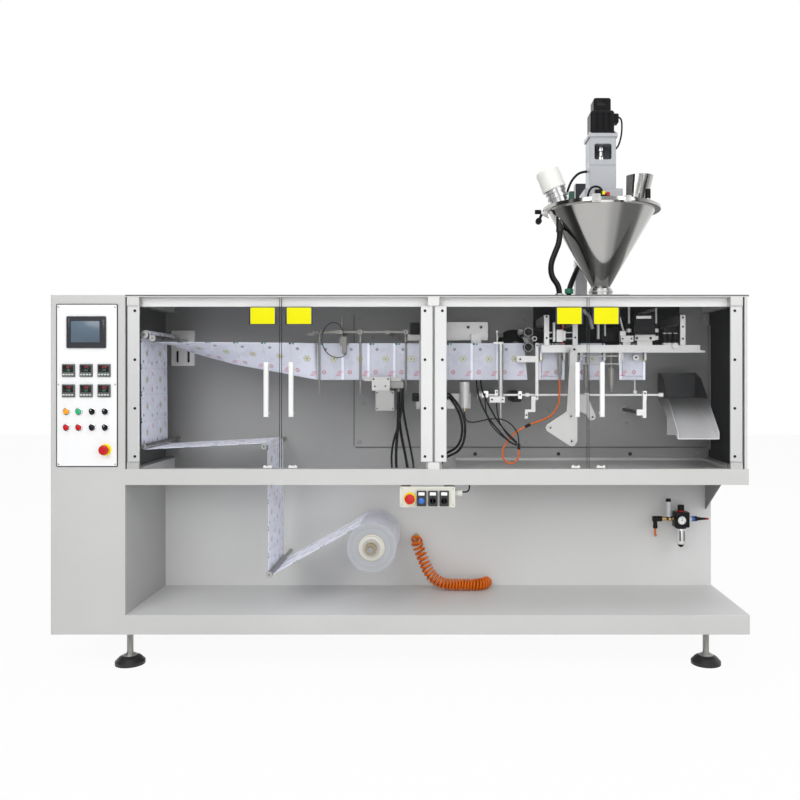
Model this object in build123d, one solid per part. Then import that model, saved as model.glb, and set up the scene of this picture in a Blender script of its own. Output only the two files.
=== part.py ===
from build123d import *

import math
import os

# Sachet packing machine: a long body on feet with a control cabinet at its left end, a lower bay for
# the film reel, an upper bay behind four clear doors, and an auger filler on the roof.
# Millimetres. X runs to the right, Y to the rear, Z up. Pieces are drawn with y = 0 on the front plane
# and moved at the end, so that the origin is the centre of the footprint at floor level.

# Body
LENGTH = 2660.0
CABINET_WIDTH = 284.0
BODY_DEPTH = 900.0
BAY_DEPTH = 450.0
FOOT_HEIGHT = 135.0
BASE_HEIGHT = 73.0
LOWER_BAY_HEIGHT = 496.0
BEAM_HEIGHT = 60.0
BEAM_DEPTH = 38.0
UPPER_BAY_HEIGHT = 655.0
ROOF_THICKNESS = 7.0
BACK_THICKNESS = 3.0
MOUNT_THICKNESS = 6.0
COVER_THICKNESS = 5.0
END_STEP = 5.0

LEFT_X = -LENGTH / 2
RIGHT_X = LENGTH / 2
BAY_LEFT_X = LEFT_X + CABINET_WIDTH
BODY_RIGHT_X = RIGHT_X - END_STEP
SHELF_Z = FOOT_HEIGHT + BASE_HEIGHT
BEAM_Z = SHELF_Z + LOWER_BAY_HEIGHT
BAY_FLOOR_Z = BEAM_Z + BEAM_HEIGHT
ROOF_Z = BAY_FLOOR_Z + UPPER_BAY_HEIGHT
TOP_Z = ROOF_Z + ROOF_THICKNESS
MOUNT_Y = BAY_DEPTH - MOUNT_THICKNESS
HOUSING_Y = BAY_DEPTH + BACK_THICKNESS
COVER_Y = BODY_DEPTH - COVER_THICKNESS

# Upper frame
FRAME_Y = (26.0, BEAM_DEPTH)
RAIL_HEIGHT = 35.0
SIDE_POST_WIDTH = 23.0
MIDDLE_POST_WIDTH = 60.0
MIDDLE_X = 127.0
CROSS_WIDTH = 40.0
UPPER_CROSS_HEIGHT = 26.0
WALL_THICKNESS = 4.0
WALL_FLANGE = 11.0
GUSSET_DROP = 165.0
GUSSET_REACH = 250.0
WALL_X = (BODY_RIGHT_X - 9.0, BODY_RIGHT_X - 9.0 + WALL_THICKNESS)
RIGHT_FRAME_X = BODY_RIGHT_X - 11.0

# Doors: stile in front, clear leaf behind it, bar handle on the leaf
DOOR_GAP = 7.0
SEAM_GAP = 6.0
STILE_WIDTH = 46.0
STILE_Y = (2.0, 12.0)
STILE_NOSE = 3.0
LEAF_THICKNESS = 5.0
LEAF_SETBACK = 12.0
LEAF_FLOOR_GAP = 3.0
PIVOT_INSET = 7.0
PIVOT_RADIUS = 2.5
PIVOT_CLEARANCE = 0.05
PIVOT_LENGTH = 12.0
PIVOT_GAP = 2.0
BLOCK_BOTTOM = 26.0
BLOCK_TOP = 34.0
END_BLOCK_WIDTH = 46.0
CENTRE_BLOCK_WIDTH = 44.0
BLOCK_DEPTH = 11.0
NOTCH_MARGIN = 6.0
HANDLE_LENGTH = 207.0
HANDLE_WIDTH = 18.0
HANDLE_THICKNESS = 12.0
HANDLE_REACH = 30.0
HANDLE_INSET = 47.0
HANDLE_Z = 963.0
LEAF_Y = (STILE_Y[1], STILE_Y[1] + LEAF_THICKNESS)
PIVOT_Y = (STILE_Y[0] + STILE_Y[1]) / 2

# Film
FILM_Y = 190.0
FILM_WIDTH = 294.0
WEB_THICKNESS = 1.0
WEB_GAP = 0.3
REEL_X = -113.0
REEL_Z = 457.0
REEL_RADIUS = 94.5
REEL_WIDTH = 300.0
CORE_RADIUS = 45.0
REEL_SHAFT_RADIUS = 12.0
HUB_RADIUS = 34.0
SHAFT_FIT = 0.05
DANCER = (-501.0, 360.0, 8.0)
RISE_ROLLER = (-526.0, 847.0, 12.0)
CROSS_ROLLER = (BAY_LEFT_X + 59.0, 847.0, 11.0)
TOP_ROLLER = (BAY_LEFT_X + 61.0, 1277.0, 16.0)
INFEED_ROLLER = (BAY_LEFT_X + 91.0, 1263.0, 12.7)
FOLD_END_X = -347.0
BAND_END_X = 488.0
BAND_SLANT = 14.0
BAND_THICKNESS = 3.0
POUCH_WIDTH = 105.0
POUCH_X = (546.5, 708.0, 872.0)
POUCH_BELLY = 10.0
BRACKET_THICKNESS = 8.0

# Mechanisms of the upper bay
GUIDE_ROD_X = (-336.0, -171.0, 12.0)
GUIDE_ROD_RADIUS = 4.0
GUIDE_BAR_Z = 1295.0
RAIL_X = (552.0, 1183.0)
RAIL_Z = (1211.0, 1241.0)
RAIL_Y = (140.0, 160.0)
RAIL_BRACKET_X = (572.5, 685.5, 1112.0)
RAIL_BRACKET_WIDTH = 20.0
RAIL_BRACKET_TOP = 1359.0
FEED_ROLLER_X = 498.0
FEED_ROLLER_Z = (1232.0, 1291.0)
FEED_ROLLER_RADIUS = 19.0
FEED_PLATE_DEPTH = 44.0
STANDOFF_LENGTH = 84.0
INFEED_PLATE_WIDTH = 100.0
INFEED_PLATE_Z = (INFEED_ROLLER[1] - 101.0, INFEED_ROLLER[1] + 52.0)
SUPPORT_ROD_RADIUS = 2.5
DRIVE_HOLE = (463.0, 1253.0, 67.0)
BOOT_HOLE = (947.0, 972.0, 17.0)
CAM_SHAFT_Z = 1042.0
CAM_SHAFT_Y = 175.0
CAM_SHAFT_RADIUS = 4.5
CAM_SHAFT_X = (300.0, 1042.0)
CUTTER_X = (531.0, 543.0)
CHUTE_X = (BODY_RIGHT_X - 262.0, BODY_RIGHT_X - 102.0)
CHUTE_SHEET = 3.0
CHUTE_BACK_Y = 330.0
CHUTE_LIP = (30.0, 875.0)
CHUTE_KNEE_Z = 1027.0

# Auger filler
FILLER_X = 797.0
CONE_TOP_RADIUS = 212.0
CONE_NECK_RADIUS = 32.0
CONE_WALL = 2.5
CONE_Z = (1467.0, 1775.0)
RIM_RADIUS = 235.5
RIM_Z = (1779.0, 1790.0)
LID_THICKNESS = 4.0
LID_Z = RIM_Z[1]
LID_TOP_Z = LID_Z + LID_THICKNESS
HOUSING_SIDE = 150.0
HOUSING_TOP_Z = 1857.0
COLUMN_SIDE = 105.0
COLUMN_TOP_Z = 2067.0
MOTOR_PLATE_Z = (COLUMN_TOP_Z, COLUMN_TOP_Z + 14.0)
COLUMN_WALL = 8.0
WINDOW_SIZE = (68.0, 63.0)
WINDOW_Z = 2009.0
COUPLING_RADIUS = 19.0
SERVO_SIDE = 95.0
SERVO_HEIGHT = 95.0
SERVO_CAP = (69.0, 66.0, 52.0)
SERVO_CAP_SLOT = (40.0, 20.0)
FUNNEL_X = 937.0
FUNNEL_LEAN = 16.0

FRONT_Y = FILM_Y - RIM_RADIUS
CENTRE_Y = (FRONT_Y + BODY_DEPTH) / 2


def block(x, y, z):
    """Box between a low and a high value along each axis."""
    centre = Pos((x[0] + x[1]) / 2, (y[0] + y[1]) / 2, (z[0] + z[1]) / 2)
    return centre * Box(x[1] - x[0], y[1] - y[0], z[1] - z[0])


def bar_x(x, y, z, radius):
    """Round bar along X."""
    return Pos((x[0] + x[1]) / 2, y, z) * Rot(0, 90, 0) * Cylinder(radius, x[1] - x[0])


def bar_y(x, y, z, radius):
    """Round bar along Y."""
    return Pos(x, (y[0] + y[1]) / 2, z) * Rot(90, 0, 0) * Cylinder(radius, y[1] - y[0])


def bar_z(x, y, z, radius):
    """Round bar along Z."""
    return Pos(x, y, (z[0] + z[1]) / 2) * Cylinder(radius, z[1] - z[0])


def around(centre, width):
    """Low and high value of a width centred on a place."""
    return (centre - width / 2, centre + width / 2)


def plate_xz(outline, y):
    """Plate cut to an outline seen from the front, between two depths."""
    return extrude(Plane.XZ.offset(-y[1]) * outline, y[1] - y[0], dir=(0, -1, 0))


def plate_yz(outline, x):
    """Plate cut to an outline seen from the right, between two values of x."""
    return extrude(Plane.YZ.offset(x[0]) * outline, x[1] - x[0], dir=(1, 0, 0))


def turned(x, y, profile):
    """Body of revolution about an upright axis; the profile holds (radius, height) points."""
    outline = Plane.XZ * Polygon(*profile, align=None)
    return Pos(x, y, 0) * revolve(outline, Axis.Z)


def corner_radii(points):
    """Largest arcs that neighbouring runs of a hose route leave room for."""
    vectors = [Vector(*p) for p in points]
    runs = [(b - a) for a, b in zip(vectors, vectors[1:])]
    radii = []
    for before, after in zip(runs, runs[1:]):
        half_turn = math.radians(before.get_angle(after) / 2)
        radii.append(0.45 * min(before.length, after.length) / math.tan(half_turn))
    return radii


def hose(points, diameter, name):
    """Round hose along straight runs joined by tangent arcs."""
    radii = corner_radii(points)
    path = FilletPolyline(*points, radius=radii)
    section = Plane(origin=path @ 0, z_dir=path % 0) * Circle(diameter / 2)
    solid = sweep(section, path=path)
    expected = math.pi * diameter**2 / 4 * path.length
    print(name, "length", round(path.length), "radii", [round(r) for r in radii], "fill",
          round(solid.volume / expected, 3))
    return solid


# Body and frame


def base_plinth():
    body = block((BAY_LEFT_X, RIGHT_X), (0, COVER_Y), (FOOT_HEIGHT, SHELF_Z))
    return fillet(body.edges().filter_by(Axis.Z).group_by(Axis.X)[-1], 6)


def control_cabinet():
    body = block((LEFT_X, BAY_LEFT_X), (0, COVER_Y), (FOOT_HEIGHT, TOP_Z))
    return fillet(body.edges().filter_by(Axis.Z).group_by(Axis.X)[0], 6)


def levelling_feet():
    foot_x = (BAY_LEFT_X - 9, RIGHT_X - 145)
    foot_y = (75, BODY_DEPTH - 80)
    pad_radius = 56.5
    neck_z = 40.0
    profile = [(0, 0), (pad_radius, 0), (pad_radius, 12), (42, 27), (18, neck_z), (12, neck_z),
               (12, FOOT_HEIGHT), (0, FOOT_HEIGHT)]
    feet = [turned(x, y, profile) for x in foot_x for y in foot_y]
    nuts = [Pos(x, y, FOOT_HEIGHT - 9) * extrude(RegularPolygon(19, 6), 9) for x in foot_x for y in foot_y]
    return Part() + feet + nuts


def back_panel():
    sheet = block((BAY_LEFT_X, BODY_RIGHT_X), (BAY_DEPTH, HOUSING_Y), (SHELF_Z, ROOF_Z))
    for x, z, radius in (DRIVE_HOLE, BOOT_HOLE):
        sheet -= bar_y(x, (BAY_DEPTH - 5, HOUSING_Y + 5), z, radius)
    return sheet


def mounting_plate():
    x = (-227.0, BODY_RIGHT_X - 18)
    z = (BAY_FLOOR_Z + 44, ROOF_Z - 29)
    outline = Pos(sum(x) / 2, sum(z) / 2) * RectangleRounded(x[1] - x[0], z[1] - z[0], 12)
    for hole_x, hole_z, radius in (DRIVE_HOLE, BOOT_HOLE):
        outline -= Pos(hole_x, hole_z) * Circle(radius)
    plate = plate_xz(outline, (MOUNT_Y, BAY_DEPTH))
    # Plate of the two infeed rollers, with two adjusting slots
    centre_x = INFEED_ROLLER[0] - 13
    low, high = INFEED_PLATE_Z
    bracket = Pos(centre_x, (low + high) / 2) * RectangleRounded(INFEED_PLATE_WIDTH, high - low, 6)
    for slot_x in (-24, 24):
        bracket -= Pos(centre_x + slot_x, low + 40) * SlotOverall(52, 11, rotation=90)
    return plate + plate_xz(bracket, (BAY_DEPTH - BRACKET_THICKNESS, BAY_DEPTH))


def middle_beam():
    return block((BAY_LEFT_X, BODY_RIGHT_X), (0, BEAM_DEPTH), (BEAM_Z, BAY_FLOOR_Z))


def cross_members():
    left = (BAY_LEFT_X, BAY_LEFT_X + CROSS_WIDTH)
    right = (BODY_RIGHT_X - CROSS_WIDTH, BODY_RIGHT_X)
    y = (BEAM_DEPTH, BAY_DEPTH)
    lower_left = block(left, y, (BEAM_Z, BAY_FLOOR_Z))
    lower_right = block(right, y, (BEAM_Z, BAY_FLOOR_Z))
    corner = Polygon((BAY_DEPTH, BEAM_Z), (BAY_DEPTH, BEAM_Z - GUSSET_DROP),
                     (BAY_DEPTH - GUSSET_REACH, BEAM_Z), align=None)
    gusset = plate_yz(corner, (right[0] + 15, right[0] + 19))
    upper_z = (ROOF_Z - UPPER_CROSS_HEIGHT, ROOF_Z)
    upper_left = block(left, y, upper_z)
    upper_right = block((right[0], RIGHT_FRAME_X), y, upper_z)
    return Part() + [lower_left, lower_right + gusset, upper_left, upper_right]


def floor_tray():
    x = (211.0, BODY_RIGHT_X - CROSS_WIDTH)
    y = (BEAM_DEPTH, BAY_DEPTH)
    tray = block(x, y, (BAY_FLOOR_Z - 14, BAY_FLOOR_Z))
    return tray - block((x[0] + 3, x[1] - 3), (y[0] + 3, y[1] - 12), (BAY_FLOOR_Z - 11, BAY_FLOOR_Z + 1))


def roof_plate():
    plate = block((BAY_LEFT_X, BODY_RIGHT_X), (0, COVER_Y), (ROOF_Z, TOP_Z))
    return chamfer(plate.edges().filter_by(Axis.X).group_by(Axis.Y)[0].group_by(Axis.Z)[-1], 2)


def door_frame():
    rail = block((BAY_LEFT_X, RIGHT_FRAME_X), FRAME_Y, (ROOF_Z - RAIL_HEIGHT, ROOF_Z))
    post_z = (BAY_FLOOR_Z, ROOF_Z - RAIL_HEIGHT)
    left = block((BAY_LEFT_X, BAY_LEFT_X + SIDE_POST_WIDTH), FRAME_Y, post_z)
    middle = block(around(MIDDLE_X, MIDDLE_POST_WIDTH), FRAME_Y, post_z)
    right = block((RIGHT_FRAME_X - SIDE_POST_WIDTH - 7, RIGHT_FRAME_X), FRAME_Y, post_z)
    return rail + left + middle + right


def side_wall():
    web = block(WALL_X, (0, BAY_DEPTH), (BAY_FLOOR_Z, ROOF_Z))
    flange = block((WALL_X[1] - WALL_FLANGE, WALL_X[1]), (0, WALL_THICKNESS), (BAY_FLOOR_Z, ROOF_Z))
    return web + flange


def rear_housing():
    body = block((BAY_LEFT_X, BODY_RIGHT_X), (HOUSING_Y, COVER_Y), (SHELF_Z, ROOF_Z))
    x, z, radius = DRIVE_HOLE
    pocket_depth = 60.0
    pocket = bar_y(x, (HOUSING_Y, HOUSING_Y + pocket_depth), z, radius)
    shaft = bar_y(x + 8, (HOUSING_Y - 40, HOUSING_Y + pocket_depth), z - 6, 11)
    knob = Pos(x + 8, HOUSING_Y - 40, z - 6) * Sphere(20)
    return body - pocket + shaft + knob


def rear_covers():
    margin = 10.0
    z = (SHELF_Z + 32, ROOF_Z - 29)
    step = (BODY_RIGHT_X - BAY_LEFT_X) / 3
    covers = Part()
    for index in range(3):
        x = (BAY_LEFT_X + index * step + margin, BAY_LEFT_X + (index + 1) * step - margin)
        outline = Pos(sum(x) / 2, sum(z) / 2) * RectangleRounded(x[1] - x[0], z[1] - z[0], 8)
        covers += plate_xz(outline, (COVER_Y, BODY_DEPTH))
    x = (LEFT_X + margin, BAY_LEFT_X - margin)
    z = (FOOT_HEIGHT + 30, TOP_Z - 30)
    outline = Pos(sum(x) / 2, sum(z) / 2) * RectangleRounded(x[1] - x[0], z[1] - z[0], 8)
    return covers + plate_xz(outline, (COVER_Y, BODY_DEPTH))


# Doors

DOOR_LINES = (BAY_LEFT_X + DOOR_GAP, MIDDLE_X - DOOR_GAP / 2, MIDDLE_X + DOOR_GAP / 2,
              WALL_X[1] - WALL_FLANGE - DOOR_GAP)


def door_layout(number):
    """Outer edge, free edge and direction from hinge to free edge of door 1 to 4."""
    outer = DOOR_LINES[number - 1]
    neighbour = DOOR_LINES[number] if number in (1, 3) else DOOR_LINES[number - 2]
    side = 1 if number in (1, 3) else -1
    return outer, (outer + neighbour) / 2 - side * SEAM_GAP / 2, side


def span(a, b):
    """Two values in rising order."""
    return (min(a, b), max(a, b))


def block_reach(number):
    """How far a pivot block covers a door from its outer edge."""
    if number in (1, 4):
        return END_BLOCK_WIDTH
    return (CENTRE_BLOCK_WIDTH - DOOR_GAP) / 2


def door_stile(number):
    outer, free, side = door_layout(number)
    z = (BAY_FLOOR_Z + BLOCK_BOTTOM + PIVOT_GAP, ROOF_Z - BLOCK_TOP - PIVOT_GAP)
    stile = block(span(outer, outer + side * STILE_WIDTH), STILE_Y, z)
    stile = fillet(stile.edges().filter_by(Axis.Z), STILE_NOSE)
    pivot_x = outer + side * PIVOT_INSET
    bore = PIVOT_RADIUS + PIVOT_CLEARANCE
    for end, inward in ((z[0], 1), (z[1], -1)):
        stile -= bar_z(pivot_x, PIVOT_Y, span(end - inward, end + inward * (PIVOT_LENGTH + 2)), bore)
    handle_x = free - side * (HANDLE_INSET - SEAM_GAP / 2)
    handle_y = (-HANDLE_REACH, HANDLE_THICKNESS - HANDLE_REACH)
    handle_z = (HANDLE_Z, HANDLE_Z + HANDLE_LENGTH)
    bar = block(around(handle_x, HANDLE_WIDTH), handle_y, handle_z)
    bar = fillet(bar.edges().group_by(Axis.Y)[0], 4)
    for end in (handle_z[0] + 14, handle_z[1] - 14):
        bar += bar_y(handle_x, (handle_y[1], LEAF_Y[0]), end, 7)
    return Part() + [stile, bar]


def door_leaf(number):
    outer, free, side = door_layout(number)
    z = (BAY_FLOOR_Z + LEAF_FLOOR_GAP, ROOF_Z - LEAF_FLOOR_GAP)
    leaf = block(span(outer + side * LEAF_SETBACK, free), LEAF_Y, z)
    notch = span(outer, outer + side * (block_reach(number) + NOTCH_MARGIN))
    y = (LEAF_Y[0] - 1, LEAF_Y[1] + 1)
    leaf -= block(notch, y, (z[0] - 1, BAY_FLOOR_Z + BLOCK_BOTTOM + NOTCH_MARGIN))
    leaf -= block(notch, y, (ROOF_Z - BLOCK_TOP - NOTCH_MARGIN, z[1] + 1))
    return leaf


def door_pivots():
    """Blocks above and below the doors, each with its pivot pins."""
    rows = [(DOOR_LINES[0], DOOR_LINES[0] + END_BLOCK_WIDTH, (1,)),
            (MIDDLE_X - CENTRE_BLOCK_WIDTH / 2, MIDDLE_X + CENTRE_BLOCK_WIDTH / 2, (2, 3)),
            (DOOR_LINES[3] - END_BLOCK_WIDTH, DOOR_LINES[3], (4,))]
    blocks = Part()
    for low, high, doors in rows:
        bottom = block((low, high), (0, BLOCK_DEPTH), (BAY_FLOOR_Z, BAY_FLOOR_Z + BLOCK_BOTTOM))
        top = block((low, high), (0, BLOCK_DEPTH), (ROOF_Z - BLOCK_TOP, ROOF_Z))
        for number in doors:
            outer, _, side = door_layout(number)
            pivot_x = outer + side * PIVOT_INSET
            low_z = BAY_FLOOR_Z + BLOCK_BOTTOM
            high_z = ROOF_Z - BLOCK_TOP
            bottom += bar_z(pivot_x, PIVOT_Y, (low_z, low_z + PIVOT_LENGTH), PIVOT_RADIUS)
            top += bar_z(pivot_x, PIVOT_Y, (high_z - PIVOT_LENGTH, high_z), PIVOT_RADIUS)
        blocks += [bottom, top]
    return blocks


# Operator controls

PANEL_THICKNESS = 3.0
PANEL_X = (LEFT_X + 24, LEFT_X + 257)
PANEL_Z = (773.0, 1392.0)
CONTROLLER_SIDE = 48.0
CONTROLLER_X = (LEFT_X + 72, LEFT_X + 139, LEFT_X + 207)
CONTROLLER_Z = (1062.0, 1139.0)
BUTTON_X = (LEFT_X + 64, LEFT_X + 111, LEFT_X + 162, LEFT_X + 211.5)
BUTTON_Z = (923.0, 983.5)
STOP_Z = 838.0


def control_panel():
    outline = Pos(sum(PANEL_X) / 2, sum(PANEL_Z) / 2)
    outline *= RectangleRounded(PANEL_X[1] - PANEL_X[0], PANEL_Z[1] - PANEL_Z[0], 5)
    return plate_xz(outline, (-PANEL_THICKNESS, 0))


def touch_screen():
    x = (LEFT_X + 65, LEFT_X + 214)
    z = (1224.0, 1344.5)
    front = -PANEL_THICKNESS - 6
    case = plate_xz(Pos(sum(x) / 2, sum(z) / 2) * RectangleRounded(x[1] - x[0], z[1] - z[0], 4),
                    (front, -PANEL_THICKNESS))
    return case - block((x[0] + 16, x[1] - 23), (front - 1, front + 1.5), (z[0] + 21, z[1] - 17.5))


def temperature_controllers():
    front = -PANEL_THICKNESS - 8
    units = Part()
    for x in CONTROLLER_X:
        for z in CONTROLLER_Z:
            bezel = block(around(x, CONTROLLER_SIDE), (front, -PANEL_THICKNESS), around(z, CONTROLLER_SIDE))
            bezel = chamfer(bezel.edges().group_by(Axis.Y)[0], 2)
            units += bezel - block(around(x, 40), (front - 1, front + 1.5), (z - 6, z + 20))
    return units


def push_buttons():
    """Buttons and selectors in two rows, and the emergency stop with its ring."""
    base_y = (-PANEL_THICKNESS - 6, -PANEL_THICKNESS)
    buttons = Part()
    for row, z in enumerate(BUTTON_Z):
        for column, x in enumerate(BUTTON_X):
            bezel = bar_y(x, base_y, z, 14)
            is_selector = column == 2 or (column == 3 and row == 0)
            if is_selector:
                bezel += block(around(x, 7), (base_y[0] - 9, base_y[0]), around(z, 21))
            else:
                bezel += bar_y(x, (base_y[0] - 6, base_y[0]), z, 10.5)
            buttons += bezel
    x = BUTTON_X[3]
    stop = bar_y(x, (base_y[0] + 1, -PANEL_THICKNESS), STOP_Z, 23)
    stop += bar_y(x, (base_y[0] - 12, base_y[0] + 1), STOP_Z, 13)
    head = bar_y(x, (-HANDLE_REACH, base_y[0] - 12), STOP_Z, 19)
    return buttons + (stop + fillet(head.edges().group_by(Axis.Y)[0], 6))


# Film path


def wrap(roller):
    """Radius of the middle of the web where it goes round a roller."""
    return roller[2] + WEB_GAP + WEB_THICKNESS / 2


# Rollers in the order of the web: x, z, radius of the web's middle, and 1 for a turn that is
# anticlockwise seen from the front or -1 for a clockwise one
WEB_ROLLERS = (
    (REEL_X, REEL_Z, REEL_RADIUS + 2 * WEB_THICKNESS, 1),
    (DANCER[0], DANCER[1], wrap(DANCER), -1),
    (RISE_ROLLER[0], RISE_ROLLER[1], wrap(RISE_ROLLER), 1),
    (CROSS_ROLLER[0], CROSS_ROLLER[1], wrap(CROSS_ROLLER), -1),
    (TOP_ROLLER[0], TOP_ROLLER[1], wrap(TOP_ROLLER), -1),
    (INFEED_ROLLER[0], INFEED_ROLLER[1], wrap(INFEED_ROLLER), 1),
)
FOLD_START_X = INFEED_ROLLER[0]
FOLD_START_Z = INFEED_ROLLER[1] - wrap(INFEED_ROLLER)


def web_headings():
    """Heading of the web between each pair of rollers, along their common tangent, and level at the end."""
    headings = []
    for (x1, z1, r1, s1), (x2, z2, r2, s2) in zip(WEB_ROLLERS, WEB_ROLLERS[1:]):
        distance = math.hypot(x2 - x1, z2 - z1)
        line = math.atan2(z2 - z1, x2 - x1)
        headings.append(line - math.asin((s2 * r2 - s1 * r1) / distance))
    return headings + [0.0]


def on_roller(index, heading):
    """Point of the web on a roller where it runs at a heading."""
    x, z, radius, turn = WEB_ROLLERS[index]
    side = heading - turn * math.pi / 2
    return (x + radius * math.cos(side), FILM_Y, z + radius * math.sin(side))


def web_piece(first, last):
    """Web from where it leaves one roller to where it leaves a later one."""
    headings = web_headings()
    here = on_roller(first, headings[first])
    edges = []
    for index in range(first + 1, last + 1):
        turn = WEB_ROLLERS[index][3]
        bend = turn * ((turn * (headings[index] - headings[index - 1])) % (2 * math.pi))
        arrive = on_roller(index, headings[index - 1])
        middle = on_roller(index, headings[index - 1] + bend / 2)
        leave = on_roller(index, headings[index - 1] + bend)
        edges += [Line(here, arrive), ThreePointArc(arrive, middle, leave)]
        here = leave
    path = Wire(edges)
    section = Plane(origin=path @ 0, x_dir=(0, 1, 0), z_dir=path % 0) * Rectangle(FILM_WIDTH, WEB_THICKNESS)
    return sweep(section, path=path)


def film_web_flat():
    """Web from the reel round the dancer bar, and across the bay from roller to roller."""
    return Part() + [web_piece(0, 1), web_piece(2, 3)]


def film_web_upright():
    """Web rising to the bay, and rising on the left over the top roller to the infeed roller."""
    return Part() + [web_piece(1, 2), web_piece(3, 5)]


# Height of the fold line along the folding zone
FOLD_LINE = ((-836.0, 1207.0), (-665.0, 1161.5), (-489.0, 1130.5))
BAND_Z = (FOLD_START_Z - FILM_WIDTH / 2, FOLD_START_Z + WEB_THICKNESS / 2)


def film_fold():
    """Web folded in half lengthways: its middle sinks and its edges come together."""
    half = FILM_WIDTH / 2
    edge_z = FOLD_START_Z
    stations = [(FOLD_START_X, edge_z - 0.01), *FOLD_LINE, (FOLD_END_X, edge_z - half + 0.05)]
    sections = []
    for x, fold_z in stations:
        drop = edge_z - fold_z
        width = math.sqrt(half**2 - drop**2)
        inset = WEB_THICKNESS * drop / half
        lift = WEB_THICKNESS * width / half
        width = max(width, BAND_THICKNESS / 2)
        valley = WEB_THICKNESS * half / width
        outline = Polygon((-width, edge_z - lift / 2), (0, fold_z - lift / 2), (width, edge_z - lift / 2),
                          (width - inset, edge_z + lift / 2 + 0.2), (0, fold_z - lift / 2 + valley),
                          (inset - width, edge_z + lift / 2 + 0.2), align=None)
        sections.append(Pos(x, FILM_Y, 0) * (Plane.YZ * outline))
    return loft(sections, ruled=True)


def sachet_band():
    """Folded film on its way through the stations, and the pouches cut from it."""
    z = BAND_Z
    y = around(FILM_Y, BAND_THICKNESS)
    outline = Polygon((FOLD_END_X, z[0]), (BAND_END_X + BAND_SLANT, z[0]), (BAND_END_X, z[1]),
                      (FOLD_END_X, z[1]), align=None)
    pieces = [plate_xz(outline, y)]
    middle_z = (z[0] + z[1]) / 2
    for x in POUCH_X:
        seal = block((x, x + POUCH_WIDTH), y, z)
        belly = block(around(x + POUCH_WIDTH / 2, POUCH_WIDTH - 22), around(FILM_Y, POUCH_BELLY),
                      around(middle_z - 6, z[1] - z[0] - 40))
        belly = fillet(belly.edges().group_by(Axis.Y)[0] + belly.edges().group_by(Axis.Y)[-1], 3)
        pieces.append(seal + belly)
    return Part() + pieces


def film_reel():
    reel = bar_y(REEL_X, around(FILM_Y, REEL_WIDTH), REEL_Z, REEL_RADIUS)
    return reel - bar_y(REEL_X, around(FILM_Y, REEL_WIDTH + 2), REEL_Z, CORE_RADIUS)


def reel_hub():
    """Chuck that carries the reel and turns with it on the fixed shaft."""
    core = CORE_RADIUS - WEB_GAP
    body_y = around(FILM_Y, REEL_WIDTH + 8)
    hub = bar_y(REEL_X, body_y, REEL_Z, core)
    hub += bar_y(REEL_X, (body_y[0] - 12, body_y[0]), REEL_Z, HUB_RADIUS)
    hub += bar_y(REEL_X, (body_y[0] - 34, body_y[0] - 12), REEL_Z, 22)
    hub -= bar_y(REEL_X, (body_y[0] - 40, body_y[1] + 1), REEL_Z, REEL_SHAFT_RADIUS + SHAFT_FIT)
    return hub


def guide_rollers():
    """Reel shaft, dancer bar and guide rollers, all carried by the back panel."""
    front = FILM_Y - REEL_WIDTH / 2 - 50
    shaft = bar_y(REEL_X, (front, BAY_DEPTH), REEL_Z, REEL_SHAFT_RADIUS)
    shaft += bar_y(REEL_X, (BAY_DEPTH - 60, BAY_DEPTH), REEL_Z, 40)
    dancer = bar_y(DANCER[0], (12, BAY_DEPTH), DANCER[1], DANCER[2])
    dancer += bar_y(DANCER[0], (12, 22), DANCER[1], 13)
    rise = bar_y(RISE_ROLLER[0], (33, FILM_Y + 200), RISE_ROLLER[1], RISE_ROLLER[2])
    rise += bar_y(RISE_ROLLER[0], (FILM_Y + 200, BAY_DEPTH), RISE_ROLLER[1], 7)
    cross = bar_y(CROSS_ROLLER[0], (33, FILM_Y + 200), CROSS_ROLLER[1], CROSS_ROLLER[2])
    cross += bar_y(CROSS_ROLLER[0], (FILM_Y + 200, BAY_DEPTH), CROSS_ROLLER[1], 7)
    bracket_y = BAY_DEPTH - BRACKET_THICKNESS
    roller_end = FILM_Y + FILM_WIDTH / 2 + 28
    top = bar_y(TOP_ROLLER[0], (33, roller_end), TOP_ROLLER[1], TOP_ROLLER[2])
    top += bar_y(TOP_ROLLER[0], (roller_end, bracket_y), TOP_ROLLER[1], 8)
    infeed = bar_y(INFEED_ROLLER[0], (38, bracket_y), INFEED_ROLLER[1], INFEED_ROLLER[2])
    return Part() + [shaft, dancer, rise, cross, top, infeed]


# Stations along the folded film


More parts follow.
